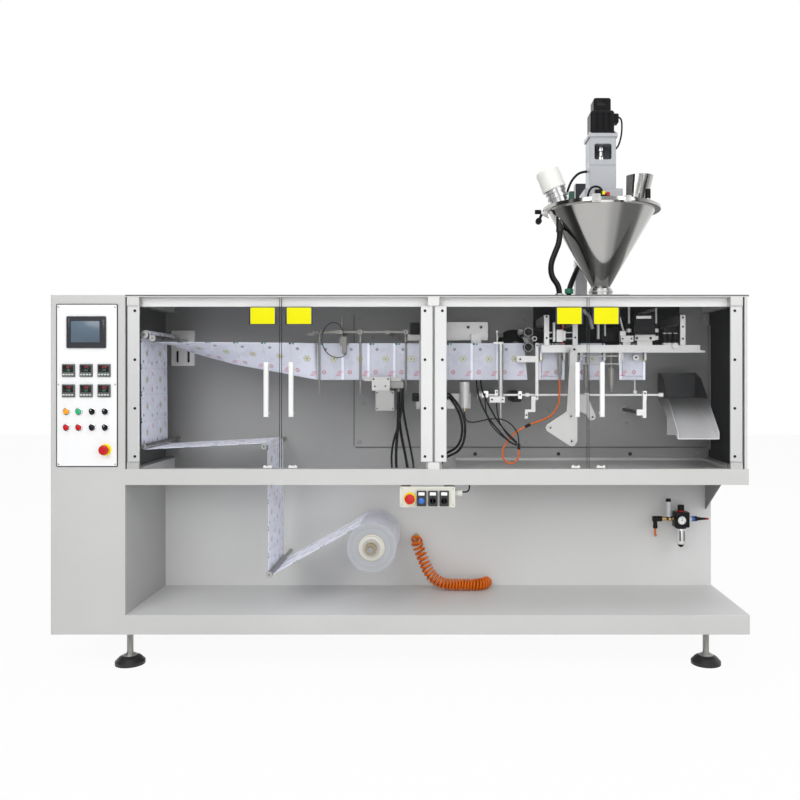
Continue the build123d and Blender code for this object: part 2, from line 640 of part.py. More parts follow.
def film_guide_rods():
    """Upright guide rods on a cross rod, with clamps and the photo eye."""
    y = FILM_Y - BAND_THICKNESS / 2 - WEB_GAP - GUIDE_ROD_RADIUS
    clamp_half = 9.0
    collar_step = 3.0
    collar_radius = 6.5
    cross = bar_x((GUIDE_ROD_X[0] - 22, GUIDE_ROD_X[2] + 14), y, GUIDE_BAR_Z, 6)
    for x in GUIDE_ROD_X:
        cross += bar_z(x, y, (1047, GUIDE_BAR_Z), GUIDE_ROD_RADIUS)
        cross += bar_z(x, y - collar_step, (1256, 1274), collar_radius)
        cross += bar_z(x, y - collar_step, (1080, 1095), collar_radius)
        cross += block(around(x, 2 * clamp_half), around(y, 18), around(GUIDE_BAR_Z, 2 * clamp_half))
    for x, rear in ((-262.0, BAY_DEPTH), (-60.0, MOUNT_Y)):
        cross += bar_y(x, (y, rear), GUIDE_BAR_Z, 8)
        cross += block(around(x, 16), around(y + 2, 14), around(GUIDE_BAR_Z, 16))
    # Photo eye: its post through a clamp on the cross rod, the eye body and the lens block under it
    eye_x = -246.0
    eye_y = (y - 20, y - GUIDE_ROD_RADIUS)
    cross += bar_z(eye_x, y, (1275, 1360), 3.5)
    cross += block(around(eye_x, 16), around(y, 18), around(GUIDE_BAR_Z, 16))
    cross += block((eye_x - 5, eye_x + 22), (eye_y[0], y + 3), (1240, 1275))
    cross += block((eye_x + 3, eye_x + 21), eye_y, (1204, 1240))
    # Short side arm at the left end of the cross rod
    left = GUIDE_ROD_X[0] - 22
    cross += block((left - 28, left), around(y, 10), (GUIDE_BAR_Z - 14, GUIDE_BAR_Z - 4))
    cross += block((left - 8, left + 4), around(y, 12), (GUIDE_BAR_Z - 14, GUIDE_BAR_Z + 6))
    return cross


def punch_unit():
    """Sealing jaws on the fold, carried by an arm from the mounting plate below the film."""
    z = BAND_Z[0]
    arm = block((-105, -30), (120, MOUNT_Y), (981, 1060))
    arm = fillet(arm.edges().filter_by(Axis.Z).group_by(Axis.Y)[0], 5)
    front_jaw = block((-120, -49), (132, 184), (1060, z + 12))
    front_jaw += block((-155, -6), (174, 184), (z - 5, z + 10))
    rear_jaw = block((-120, -49), (196, 240), (1060, z + 12))
    gland = block((-49, 4), (150, 230), (1070, 1096))
    gland += bar_z(-17, 175, (1055, 1070), 9)
    gland += bar_z(-17, 205, (1055, 1070), 9)
    return arm + front_jaw + rear_jaw + gland


def station_brackets():
    """Plates and arms of the sealing and cutting stations."""
    plate_y = (MOUNT_Y - STANDOFF_LENGTH - 8, MOUNT_Y - STANDOFF_LENGTH)
    outline = Pos(260.5, 1307.5) * RectangleRounded(179, 77, 4)
    for x in (267, 322):
        outline -= Pos(x, 1324) * Circle(6.5)
    sealing = plate_xz(outline, plate_y)
    for x in (190, 331):
        sealing += bar_y(x, (plate_y[1], MOUNT_Y), 1283, 9)
    sealing += block((278, 320), (plate_y[0] - 52, plate_y[0]), (1211, 1295))
    arm_top = CAM_SHAFT_Z - CAM_SHAFT_RADIUS - 1
    upright = bar_z(391.5, 150, (arm_top, 1245), 10.5) + bar_z(391.5, 150, (913, arm_top - 24), 4)
    upright += block((347, 407), (138, MOUNT_Y), (arm_top - 24, arm_top))
    upright += bar_y(398, (118, 138), arm_top - 12, 6)
    cutter_y = (160.0, 184.0)
    cutter = block(CUTTER_X, cutter_y, (1023, 1250))
    cutter += block((456, CUTTER_X[0]), cutter_y, (1173, 1198))
    cutter += bar_y(470, (cutter_y[0] - 8, cutter_y[0]), 1185.5, 7)
    cutter += block(CUTTER_X, (cutter_y[1], MOUNT_Y), (1023, 1047))
    # Cranked strip hung from the cutter arm
    cutter += block((514.5, CUTTER_X[0]), cutter_y, (974, arm_top))
    cutter += block((489, 514.5), cutter_y, (974, 984)) + block((489, 500), cutter_y, (948, 974))
    return Part() + [sealing, upright, cutter]


def air_cylinders():
    """Small cylinders: one below the film on its own plate, three hung under the gripper rail."""
    low = bar_z(248, 170, (990, 1094), 20)
    low += block((171, 273), (200, 210), (986, 1047)) + block((228, 268), (186, 200), (1005, 1035))
    low += block((190, 214), (210, MOUNT_Y), (1005, 1029))
    cylinders = [low]
    rail_y = sum(RAIL_Y) / 2
    for x, top, bottom, radius in ((626.5, 1198, 1122, 8.5), (731, 1164, 1071, 10), (832, 1151, 1071, 11)):
        body = bar_z(x, rail_y, (bottom, top), radius)
        body += bar_z(x, rail_y, (top, RAIL_Z[0]), 4)
        body += bar_z(x, rail_y, (bottom - 16, bottom), 5)
        cylinders.append(body)
    return Part() + cylinders


def feed_rollers():
    """Pair of rollers that pull the band, on shafts from the drive."""
    rollers = Part()
    plate_y = (MOUNT_Y - FEED_PLATE_DEPTH, MOUNT_Y)
    for z in FEED_ROLLER_Z:
        roller = bar_y(FEED_ROLLER_X, (112, 150), z, FEED_ROLLER_RADIUS)
        roller = chamfer(roller.edges().group_by(Axis.Y)[0], 2)
        roller -= bar_y(FEED_ROLLER_X, (111, 121), z, FEED_ROLLER_RADIUS - 4)
        rollers += roller + bar_y(FEED_ROLLER_X, (114, 121), z, 6) + bar_y(FEED_ROLLER_X, (150, plate_y[0]), z, 7)
    plate = block((483, 530), plate_y, (1214, 1318))
    return rollers + (plate - bar_y(DRIVE_HOLE[0], (plate_y[0] - 1, MOUNT_Y + 1), DRIVE_HOLE[1], DRIVE_HOLE[2] - 20))


def gripper_rail():
    """Rail over the pouches, on three brackets from the mounting plate, with gripper fingers."""
    rail = block(RAIL_X, RAIL_Y, RAIL_Z)
    rail += block((RAIL_X[0], RAIL_X[1] + 20), RAIL_Y, (RAIL_Z[0], RAIL_Z[0] + 9))
    for x in RAIL_BRACKET_X:
        width = around(x, RAIL_BRACKET_WIDTH)
        rail += block(width, (RAIL_Y[0] - 8, RAIL_Y[0] + 6), (RAIL_Z[1], RAIL_BRACKET_TOP))
        rail += block(width, (RAIL_Y[0] + 6, MOUNT_Y), (RAIL_BRACKET_TOP - 34, RAIL_BRACKET_TOP))
    finger_y = (RAIL_Y[1], FILM_Y - BAND_THICKNESS / 2)
    for x in POUCH_X:
        for finger in (x + 6, x + POUCH_WIDTH - 6):
            rail += block(around(finger, 8), finger_y, (RAIL_Z[0] - 30, RAIL_Z[0] + 9))
    # Two rods under the rail, held in a drop block at each end
    rod_y = RAIL_Y[0] - 6
    rod_ends = (664.0, 862.0)
    for x in rod_ends:
        rail += block(around(x, 9), (rod_y - 5, RAIL_Y[0] + 4), (RAIL_Z[0] - 52, RAIL_Z[0]))
    for z in (RAIL_Z[0] - 14, RAIL_Z[0] - 45):
        rail += bar_x(rod_ends, rod_y, z, SUPPORT_ROD_RADIUS)
    return rail + carriage_unit()


def carriage_unit():
    """Short-stroke cylinder sliding on two rods between the first two rail brackets."""
    left = RAIL_BRACKET_X[0] + RAIL_BRACKET_WIDTH / 2
    right = RAIL_BRACKET_X[1] - RAIL_BRACKET_WIDTH / 2
    y = RAIL_Y[0] - 1
    unit = bar_x((left, right), y, 1290.4, 3) + bar_x((left, right), y, 1267.3, 3)
    unit += block((611, 635), (y - 14, y + 12), (1253, 1301))
    return unit + block((635, 647), (y - 9, y + 7), (1259, 1297))


def valve_cluster():
    """Valve island above the rail: coil box on a block, fittings and upright tubes."""
    rail_top = RAIL_Z[1]
    y = sum(RAIL_Y) / 2
    island = block((923, 1003), around(y, 36), (1259, 1282))
    island += block((933, 993), around(y, 20), (rail_top, 1259))
    island += block((919, 996), (y - 30, y + 26), (1282, 1362))
    island += bar_z(1010, y, (1262, 1389), 4.5) + block((1000, 1018), around(y, 12), (1262, 1278))
    island += block((1005.5, 1014.5), (y, MOUNT_Y), (1380, 1389))
    left = block((867, 917), around(y, 30), (1253, 1278)) + block((877, 907), around(y, 16), (rail_top, 1253))
    left += bar_z(902.5, y, (1278, 1393), 4.5)
    for x in (902.5, 1010.0):
        knob = turned(x, y, [(0, 1300), (9, 1300), (10, 1306), (10, 1318), (7, 1322), (7, 1326), (0, 1326)])
        island += knob if x > 950 else Part()
        left += knob if x < 950 else Part()
    fitting = bar_z(1045, y, (1243, 1286), 10) + bar_z(1045, y, (rail_top, 1243), 6)
    for x in (1064.0, 1088.0):
        fitting += turned(x, y, [(0, rail_top), (11, rail_top), (11, 1256), (7, 1259), (10.5, 1263), (10.5, 1282),
                                 (8, 1286), (0, 1286)])
    fitting += block((1045, 1088), around(y, 12), (rail_top, 1249))
    return Part() + [island, left, fitting]


def swing_plates():
    """Large link plate in front of the rail, and the small one on the cam shaft."""
    y = (74.0, 84.0)
    outline = Polygon((659, 1230), (685, 1230), (685, 864), (674, 848), (662, 844), (650, 850), (566, 905),
                      (562, 918), (568, 930), (644, 980), align=None)
    large = plate_xz(fillet(outline.vertices(), 5), y)
    large += bar_y(672, (y[1], RAIL_Y[0]), 1221, 8)
    large += bar_y(672, (y[0] - 8, y[0]), 1221, 10)
    for x, z in ((580, 917), (659, 962), (662, 864.5)):
        large += bar_y(x, (y[0] - 6, y[0]), z, 7)
    link = Polygon((703, CAM_SHAFT_Z + 3), (742, CAM_SHAFT_Z + 3), (742, CAM_SHAFT_Z - 18), (770, 958), (765, 944),
                   (744, 942), (732, 966), (703, 978), align=None)
    small = plate_xz(fillet(link.vertices(), 5), (CAM_SHAFT_Y - 30, CAM_SHAFT_Y - 22))
    small += bar_y(756, (CAM_SHAFT_Y - 36, CAM_SHAFT_Y - 30), 955, 7)
    return Part() + [large, small]


def cam_shaft():
    """Rocking shaft under the pouches, with its clamp, arm and push rod through the boot hole."""
    shaft = bar_x((CUTTER_X[1], CAM_SHAFT_X[1]), CAM_SHAFT_Y, CAM_SHAFT_Z, CAM_SHAFT_RADIUS)
    shaft += bar_x((CAM_SHAFT_X[1] - 15, CAM_SHAFT_X[1] + 2), CAM_SHAFT_Y, CAM_SHAFT_Z, 9)
    arm_x = (962.0, 976.0)
    shaft += block(arm_x, around(CAM_SHAFT_Y, 26), (1021, 1058))
    shaft += block(arm_x, around(CAM_SHAFT_Y, 16), (950, 1021))
    x, z, _ = BOOT_HOLE
    shaft += block((x - 9, arm_x[0]), around(CAM_SHAFT_Y, 16), (z - 12, z + 12))
    shaft += bar_y(x, (CAM_SHAFT_Y, HOUSING_Y), z, 8)
    shaft += block((728, 742), (CAM_SHAFT_Y - 22, CAM_SHAFT_Y + 9), (CAM_SHAFT_Z - 18, CAM_SHAFT_Z + 8))
    # Left part of the shaft, with its split clamps and the bearing that carries it behind
    left = bar_x((CAM_SHAFT_X[0], CUTTER_X[0]), CAM_SHAFT_Y, CAM_SHAFT_Z, CAM_SHAFT_RADIUS)
    left += block(around(330, 26), around(CAM_SHAFT_Y, 24), around(CAM_SHAFT_Z + 3, 26))
    left += bar_y(330, (CAM_SHAFT_Y, MOUNT_Y), CAM_SHAFT_Z + 3, 8)
    left += block(around(376, 12), around(CAM_SHAFT_Y, 22), (CAM_SHAFT_Z - 4, CAM_SHAFT_Z + 20))
    left += block(around(470, 14), around(CAM_SHAFT_Y, 24), around(CAM_SHAFT_Z, 30))
    left += bar_x((300, 312), CAM_SHAFT_Y, CAM_SHAFT_Z, 8) + bar_x((492, 508), CAM_SHAFT_Y, CAM_SHAFT_Z, 9)
    return Part() + [shaft, left]


def discharge_chute():
    """Folded sheet chute: upright back, sloping pan and side flanges, on a bracket behind."""
    lip_y, lip_z = CHUTE_LIP
    knee = (CHUTE_BACK_Y, CHUTE_KNEE_Z)
    top_z = CHUTE_KNEE_Z + 105
    sheet = CHUTE_SHEET
    pan = Polygon((lip_y, lip_z), knee, (CHUTE_BACK_Y, top_z), (CHUTE_BACK_Y - sheet, top_z),
                  (CHUTE_BACK_Y - sheet, CHUTE_KNEE_Z + 2), (lip_y, lip_z + sheet), align=None)
    flange = Polygon((lip_y, lip_z), knee, (CHUTE_BACK_Y, top_z), (258, top_z - 23), (lip_y, lip_z + 28),
                     align=None)
    chute = plate_yz(pan, CHUTE_X)
    chute += plate_yz(flange, (CHUTE_X[0], CHUTE_X[0] + sheet))
    chute += plate_yz(flange, (CHUTE_X[1] - sheet, CHUTE_X[1]))
    slope = (CHUTE_KNEE_Z - lip_z) / (CHUTE_BACK_Y - lip_y)
    rib_front = CHUTE_BACK_Y - 90
    rib = Polygon((rib_front, CHUTE_KNEE_Z - 90 * slope), knee, (MOUNT_Y - 6, 999), (MOUNT_Y - 6, 880), align=None)
    middle_x = sum(CHUTE_X) / 2 + 19
    chute += plate_yz(rib, around(middle_x, 6))
    return chute + block(around(middle_x, 60), (MOUNT_Y - 6, MOUNT_Y), (862, 999))


# Lower bay


def pendant_station():
    """Second control station hung under the front of the beam."""
    x = (-2.0, 209.0)
    z = (BEAM_Z - 85, BEAM_Z - 7)
    case = block(x, (2, 62), z)
    case = fillet(case.edges().filter_by(Axis.Y), 6)
    case += block((40, 167), (8, 34), (z[1], BEAM_Z))
    middle_z = (z[0] + z[1]) / 2 - 5
    case += bar_y(37, (-6, 2), middle_z, 23) + bar_y(37, (-14, -6), middle_z, 12)
    case += bar_y(37, (-26, -14), middle_z, 18)
    for module_x in (81, 124, 167):
        case += block(around(module_x, 36), (-8, 2), around(middle_z, 58))
        case += bar_y(module_x, (-14, -8), middle_z - 8, 11)
    case += bar_x((x[1], x[1] + 27), 32, middle_z + 16, 13)
    return case


def air_regulator():
    """Filter regulator on the back panel of the lower bay, with gauge, bowl and fittings."""
    x, y = BODY_RIGHT_X - 151, BAY_DEPTH - 72
    unit = block(around(x, 62), around(y, 56), (477, 540))
    unit = fillet(unit.edges().filter_by(Axis.Z), 5)
    unit += bar_z(x, y, (540, 570), 14.5)
    unit += bar_z(x, y, (404, 477), 21)
    unit += turned(x, y, [(0, 404), (21, 404), (14, 392), (5, 390), (0, 390)])
    port_z = 510.0
    unit += bar_y(x - 7, (y - 44, y - 28), port_z, 20)
    unit += block(around(x, 36), (y + 28, BAY_DEPTH), around(508, 44))
    unit += bar_x((x - 81, x - 31), y, port_z, 9) + bar_x((x - 121, x - 81), y, port_z, 12)
    unit += bar_z(x - 109, y, (port_z - 40, port_z), 10)
    unit += bar_x((x + 31, x + 85), y, port_z, 11) + bar_x((x + 85, x + 118), y, port_z, 7)
    flow_x = x - 47
    return unit + bar_z(flow_x, y, (port_z + 9, port_z + 85), 8) + block(around(flow_x, 18), around(y, 18), (505, 520))


# Hoses and cables: points of each route, front plane at y = 0

SPIRAL_DIAMETER = 50.0
SPIRAL_ROUTE = ((45, 426, 419), (45, 398, 419), (51, 378, 400), (64, 368, 371), (78, 364, 336), (94, 362, 299),
                (117, 361, 263), (154, 361, 239), (196, 362, 233.5), (234, 363, 233.6), (272, 362, 233.5),
                (304, 363, 233.6), (331.7, 378, 233.6), (347.7, 404, 233.6), (347.7, 428, 233.6))
GRIPPER_HOSE_DIAMETER = 7.0
GRIPPER_HOSE_ROUTE = ((626.5, 150, 1106), (626.5, 150, 1066), (624, 147, 1020), (611, 142, 980), (582, 138, 953),
                      (540, 134, 938), (497, 130, 923), (452, 126, 898), (415, 122, 862), (394, 118, 822),
                      (400, 114, 786), (428, 110, 770), (454, 108, 784), (460, 108, 808), (460, 108, 830))
AIR_LINE_DIAMETER = 5.0
AIR_LINE_ROUTE = ((460, 108, 854), (460, 108, 874), (452, 109, 902), (430, 113, 930), (396, 121, 948),
                  (356, 132, 950), (316, 146, 940), (282, 160, 932), (256, 168, 937), (248, 170, 956),
                  (248, 170, 976))
FILLER_HOSE_DIAMETER = 23.0
FRONT_HOSE_ROUTE = ((624, 130, 1688), (624, 130, 1652), (605, 131, 1606), (588, 133, 1560), (592, 137, 1512),
                    (624, 142, 1474), (624, 142, 1444))
REAR_HOSE_ROUTE = ((752, 428, 1608), (752, 392, 1608), (740, 352, 1592), (719, 318, 1556), (698, 302, 1511),
                   (684, 296, 1472), (684, 296, 1442))
CABLE_DIAMETER = 12.0
PUNCH_CABLE_ROUTES = (
    ((-17, 175, 1055), (-17, 175, 950), (-23, 188, 880), (-30, 225, 810), (-33, 280, 750), (-32, 340, 708),
     (-30, 392, 690), (-30, 438, 690)),
    ((-17, 205, 1055), (-17, 205, 945), (-7, 218, 870), (5, 252, 800), (12, 302, 745), (14, 352, 708),
     (14, 398, 692), (14, 438, 692)),
)


def spiral_hose():
    return hose(SPIRAL_ROUTE, SPIRAL_DIAMETER, "spiral_hose")


def gripper_hose():
    return hose(GRIPPER_HOSE_ROUTE, GRIPPER_HOSE_DIAMETER, "gripper_hose")


def air_line():
    return hose(AIR_LINE_ROUTE, AIR_LINE_DIAMETER, "air_line")


def filler_hose_front():
    return hose(FRONT_HOSE_ROUTE, FILLER_HOSE_DIAMETER, "filler_hose_front")


def filler_hose_rear():
    return hose(REAR_HOSE_ROUTE, FILLER_HOSE_DIAMETER, "filler_hose_rear")


def punch_cable_left():
    return hose(PUNCH_CABLE_ROUTES[0], CABLE_DIAMETER, "punch_cable_left")


def punch_cable_right():
    return hose(PUNCH_CABLE_ROUTES[1], CABLE_DIAMETER, "punch_cable_right")


def hose_fittings():
    """Glands and fittings where hoses and cables meet the body."""
    fittings = []
    for x, y, z in (SPIRAL_ROUTE[0], SPIRAL_ROUTE[-1]):
        fittings.append(bar_y(x, (y, BAY_DEPTH), z, 14))
    for route in PUNCH_CABLE_ROUTES:
        x, y, z = route[-1]
        fittings.append(bar_y(x, (y, BAY_DEPTH), z, 11))
    for route in (FRONT_HOSE_ROUTE, REAR_HOSE_ROUTE):
        x, y, z = route[-1]
        fittings.append(bar_z(x, y, (TOP_Z, z), 18))
    x, y, z = GRIPPER_HOSE_ROUTE[-1]
    fittings.append(bar_z(x, y, (z, AIR_LINE_ROUTE[0][2]), 6))
    x, y, z = AIR_LINE_ROUTE[-1]
    fittings.append(bar_z(x, y, (z, 990), 5))
    return Part() + fittings


# Auger filler


def filler_stand():
    """Base plate and neck flange on the roof, and the post behind the cone with its arm."""
    stand = block(around(FILLER_X + 4, 184), around(FILM_Y, 184), (TOP_Z, TOP_Z + 12))
    stand += bar_z(FILLER_X, FILM_Y, (TOP_Z + 12, CONE_Z[0]), CONE_NECK_RADIUS + 13)
    post_y = FILM_Y + RIM_RADIUS + 14
    post = block((735, 785), (post_y, post_y + 50), (TOP_Z, HOUSING_TOP_Z + 95))
    arm = block((740, 780), (FILM_Y + HOUSING_SIDE / 2, post_y), (LID_TOP_Z + 6, HOUSING_TOP_Z - 8))
    x, y, z = REAR_HOSE_ROUTE[0]
    arm += bar_y(x, (y, post_y), z, 15)
    return Part() + [stand, post + arm]


def hopper_cone():
    neck, top = CONE_NECK_RADIUS, CONE_TOP_RADIUS
    wall = CONE_WALL
    low, high = CONE_Z
    rim_low, rim_high = RIM_Z
    profile = [(neck, low), (top, high), (top, rim_low), (RIM_RADIUS, rim_low), (RIM_RADIUS, rim_high),
               (top - wall, rim_high), (top - wall, high), (neck - wall, low)]
    cone = turned(FILLER_X, FILM_Y, profile)
    x, y, z = FRONT_HOSE_ROUTE[0]
    inside = turned(FILLER_X, FILM_Y, [(0, low), (neck - wall, low), (top - wall, high), (0, high)])
    return cone + (bar_z(x, y, (z, z + 60), FILLER_HOSE_DIAMETER / 2 + 3) - inside)


def hopper_lid():
    lid = Pos(FILLER_X, FILM_Y, LID_Z) * extrude(Circle(RIM_RADIUS - 7), LID_THICKNESS)
    return lid - bar_z(FUNNEL_X, FILM_Y, (LID_Z - 1, LID_TOP_Z + 1), 36)


def auger_column():
    """Lower housing, and hollow column with a window on the coupling."""
    housing = block(around(FILLER_X, HOUSING_SIDE), around(FILM_Y, HOUSING_SIDE), (LID_TOP_Z, HOUSING_TOP_Z))
    housing = fillet(housing.edges().filter_by(Axis.Z), 8)
    column = block(around(FILLER_X, COLUMN_SIDE), around(FILM_Y, COLUMN_SIDE), (HOUSING_TOP_Z, COLUMN_TOP_Z))
    column = fillet(column.edges().filter_by(Axis.Z), 5)
    inner = COLUMN_SIDE - 2 * COLUMN_WALL
    cavity_z = (WINDOW_Z - WINDOW_SIZE[1] / 2 - 6, WINDOW_Z + WINDOW_SIZE[1] / 2 + 6)
    column -= block(around(FILLER_X, inner), around(FILM_Y, inner), cavity_z)
    window = Pos(FILLER_X, WINDOW_Z) * RectangleRounded(*WINDOW_SIZE, 8)
    column -= plate_xz(window, (FILM_Y - COLUMN_SIDE / 2 - 1, FILM_Y))
    plate_side = COLUMN_SIDE + 10
    column += block(around(FILLER_X, plate_side), around(FILM_Y, plate_side), MOTOR_PLATE_Z)
    jaw = COUPLING_RADIUS
    coupling = turned(FILLER_X, FILM_Y, [(0, cavity_z[0]), (jaw, cavity_z[0]), (jaw, WINDOW_Z - 12), (jaw - 6, WINDOW_Z - 8),
                                         (jaw - 6, WINDOW_Z + 8), (jaw, WINDOW_Z + 12), (jaw, cavity_z[1]),
                                         (0, cavity_z[1])])
    return housing + column + coupling


def servo_motor():
    """Servo with corner ribs down its body, a shouldered top and a handle shaped end cap."""
    low = MOTOR_PLATE_Z[1]
    high = low + SERVO_HEIGHT
    body = block(around(FILLER_X, SERVO_SIDE), around(FILM_Y, SERVO_SIDE), (low, high))
    body = fillet(body.edges().filter_by(Axis.Z), 12)
    body = chamfer(body.edges().group_by(Axis.Z)[-1], 6)
    rib_gap = SERVO_SIDE / 4
    for offset in (-rib_gap, 0, rib_gap):
        groove_x = around(FILLER_X + offset, 9)
        for y in (FILM_Y - SERVO_SIDE / 2, FILM_Y + SERVO_SIDE / 2):
            body -= block(groove_x, around(y, 8), (low + 12, high - 14))
    flange = block(around(FILLER_X, SERVO_SIDE + 6), around(FILM_Y, SERVO_SIDE + 6), (low, low + 8))
    cap_x, cap_y, cap_z = SERVO_CAP
    cap = block(around(FILLER_X, cap_x), around(FILM_Y, cap_y), (high, high + cap_z))
    cap = fillet(cap.edges().filter_by(Axis.Y).group_by(Axis.Z)[-1], 9)
    slot_x, slot_z = SERVO_CAP_SLOT
    slot = Pos(FILLER_X, high + cap_z - slot_z / 2 - 10) * RectangleRounded(slot_x, slot_z, 4)
    cap -= plate_xz(slot, (FILM_Y - cap_y, FILM_Y + cap_y))
    side = FILLER_X + SERVO_SIDE / 2
    connector = block((side, side + 20), around(FILM_Y - 10, 34), (high - 46, high - 8))
    return body + flange + cap + fillet(connector.edges().filter_by(Axis.Y).group_by(Axis.X)[-1], 5)


def agitator_drive():
    """Stirrer motor on a tube that leans to the left."""
    lean = 22.0
    place = Pos(FILLER_X - 156, FILM_Y, LID_TOP_Z) * Rot(0, -lean, 0)
    profile = [(0, -30), (38, -30), (38, 44), (43, 44), (43, 52), (38, 52), (38, 66), (43, 66), (43, 74), (40, 74),
               (40, 80), (47, 80), (48.5, 84), (48.5, 158), (44, 165), (0, 165)]
    drive = place * revolve(Plane.XZ * Polygon(*profile, align=None), Axis.Z)
    return drive - block(around(FILLER_X - 147, 300), around(FILM_Y, 400), (LID_TOP_Z - 100, LID_TOP_Z))


def feed_funnel():
    """Filling funnel with a thin wall, leaning a little to the right."""
    low, high = LID_TOP_Z, 1922.0
    outer = loft([Pos(FUNNEL_X, FILM_Y, low) * Circle(39.5), Pos(FUNNEL_X + FUNNEL_LEAN, FILM_Y, high) * Circle(56)])
    inner = loft([Pos(FUNNEL_X, FILM_Y, low) * Circle(36), Pos(FUNNEL_X + FUNNEL_LEAN, FILM_Y, high) * Circle(52.5)])
    return outer - inner


def build_nodes():
    """Every named piece of the machine."""
    makers = [base_plinth, control_cabinet, levelling_feet, back_panel, mounting_plate, middle_beam, cross_members,
              floor_tray, roof_plate, door_frame, side_wall, rear_housing, rear_covers, door_pivots, control_panel,
              touch_screen, temperature_controllers, push_buttons, film_web_flat, film_web_upright, film_fold,
              sachet_band, film_reel, reel_hub, guide_rollers, film_guide_rods, punch_unit, station_brackets,
              air_cylinders, feed_rollers, gripper_rail, valve_cluster, swing_plates, cam_shaft,
              discharge_chute, pendant_station, air_regulator, spiral_hose, gripper_hose, air_line, filler_hose_front,
              filler_hose_rear, punch_cable_left, punch_cable_right, hose_fittings, filler_stand, hopper_cone,
              hopper_lid, auger_column, servo_motor, agitator_drive, feed_funnel]
    nodes = {maker.__name__: maker() for maker in makers}
    for number in range(1, 5):
        nodes[f"door_{number}_stile"] = door_stile(number)
        nodes[f"door_{number}_leaf"] = door_leaf(number)
    return nodes


os.makedirs("parts", exist_ok=True)
for node_name, node_shape in build_nodes().items():
    export_step(Pos(0, -CENTRE_Y, 0) * node_shape, f"parts/{node_name}.step")
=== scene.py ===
import math

import bmesh
import bpy
import numpy as np
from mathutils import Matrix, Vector


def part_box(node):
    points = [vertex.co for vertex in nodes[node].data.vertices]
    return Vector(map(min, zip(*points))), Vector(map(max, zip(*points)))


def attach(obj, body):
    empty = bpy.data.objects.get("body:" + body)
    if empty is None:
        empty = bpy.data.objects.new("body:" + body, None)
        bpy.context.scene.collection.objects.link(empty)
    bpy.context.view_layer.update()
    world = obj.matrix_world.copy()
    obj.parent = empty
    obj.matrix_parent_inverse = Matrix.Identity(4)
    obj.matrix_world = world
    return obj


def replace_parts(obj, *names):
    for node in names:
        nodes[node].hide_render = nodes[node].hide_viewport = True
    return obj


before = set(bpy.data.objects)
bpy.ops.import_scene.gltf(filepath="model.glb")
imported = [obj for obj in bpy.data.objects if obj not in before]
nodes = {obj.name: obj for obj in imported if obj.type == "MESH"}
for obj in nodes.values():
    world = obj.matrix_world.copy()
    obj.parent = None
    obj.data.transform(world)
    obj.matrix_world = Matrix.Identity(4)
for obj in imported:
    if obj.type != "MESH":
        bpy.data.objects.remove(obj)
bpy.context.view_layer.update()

# View. A level camera looks along +Y at the height of the film, a little to the right of the middle;
# its frame is shifted to take in the feet and the filler.
EYE = (0.1777, -3.5523, 1.118)
LENS_MM = 37.0
SENSOR_MM = 36.0
FRAME_SHIFT = (-0.05875, -0.03)

camera_data = bpy.data.cameras.new("camera")
camera_data.lens = LENS_MM
camera_data.sensor_width = SENSOR_MM
camera_data.shift_x, camera_data.shift_y = FRAME_SHIFT
camera_data.clip_end = 60.0
camera = bpy.data.objects.new("camera", camera_data)
camera.location = EYE
camera.rotation_euler = (math.radians(90), 0, 0)
bpy.context.scene.collection.objects.link(camera)
bpy.context.scene.camera = camera
bpy.context.scene.view_settings.view_transform = "Standard"


# Studio. Soft even light from a pale room and large lamps, over a white floor that keeps a faint shadow.
# Polished metal shows the dark flags that stand at both sides of the set.
class Signal:
    """An output socket of a node tree: an expression on signals adds the Math nodes that work it out."""

    def __init__(self, tree, socket):
        self.tree = tree
        self.socket = socket

    @classmethod
    def node(cls, tree, kind, settings=None, inputs=None, output=0):
        """Adds a node: its settings first, then a value or a link for each input socket."""
        made = tree.nodes.new("ShaderNode" + kind)
        for name, value in (settings or {}).items():
            setattr(made, name, value)
        for name, value in (inputs or {}).items():
            if isinstance(value, Signal):
                tree.links.new(value.socket, made.inputs[name])
            elif made.inputs[name].type == "RGBA":
                made.inputs[name].default_value = (*value, 1)
            else:
                made.inputs[name].default_value = value
        return cls(tree, made.outputs[output])

    def maths(self, operation, *values):
        return Signal.node(self.tree, "Math", {"operation": operation}, dict(enumerate((self, *values))))

    def __add__(self, other):
        return self.maths("ADD", other)

    def __sub__(self, other):
        return self.maths("SUBTRACT", other)

    def __rsub__(self, other):
        return Signal.node(self.tree, "Math", {"operation": "SUBTRACT"}, {0: other, 1: self})

    def __mul__(self, other):
        return self.maths("MULTIPLY", other)

    def __truediv__(self, other):
        return self.maths("DIVIDE", other)

    def __lt__(self, limit):
        return self.maths("LESS_THAN", limit)

    def __gt__(self, limit):
        return self.maths("GREATER_THAN", limit)

    def __or__(self, other):
        return (self + other).maths("MINIMUM", 1.0)

    def __abs__(self):
        return self.maths("ABSOLUTE")

    __radd__ = __add__
    __rmul__ = __mul__

    def ramp(self, low, high):
        """Rises smoothly from 0 at low to 1 at high, or falls where low is the larger."""
        limits = {"Value": self, "From Min": low, "From Max": high}
        return Signal.node(self.tree, "MapRange", {"interpolation_type": "SMOOTHSTEP"}, limits)

    def axes(self):
        """The three parts of a vector, each a signal."""
        split = Signal.node(self.tree, "SeparateXYZ", {}, {"Vector": self})
        return [Signal(self.tree, output) for output in split.socket.node.outputs]


def blended(factor, first, second):
    """Colour between two colours, or two colour signals, by a factor signal."""
    return Signal.node(factor.tree, "Mix", {"data_type": "RGBA"}, {0: factor, 6: first, 7: second}, 2)


def ray_is(tree, *kinds):
    """1 for a ray of this kind, or of one of these kinds."""
    outputs = Signal.node(tree, "LightPath").socket.node.outputs
    found = [Signal(tree, outputs[f"Is {kind} Ray"]) for kind in kinds]
    return sum(found[1:], found[0]).maths("MINIMUM", 1.0) if len(found) > 1 else found[0]


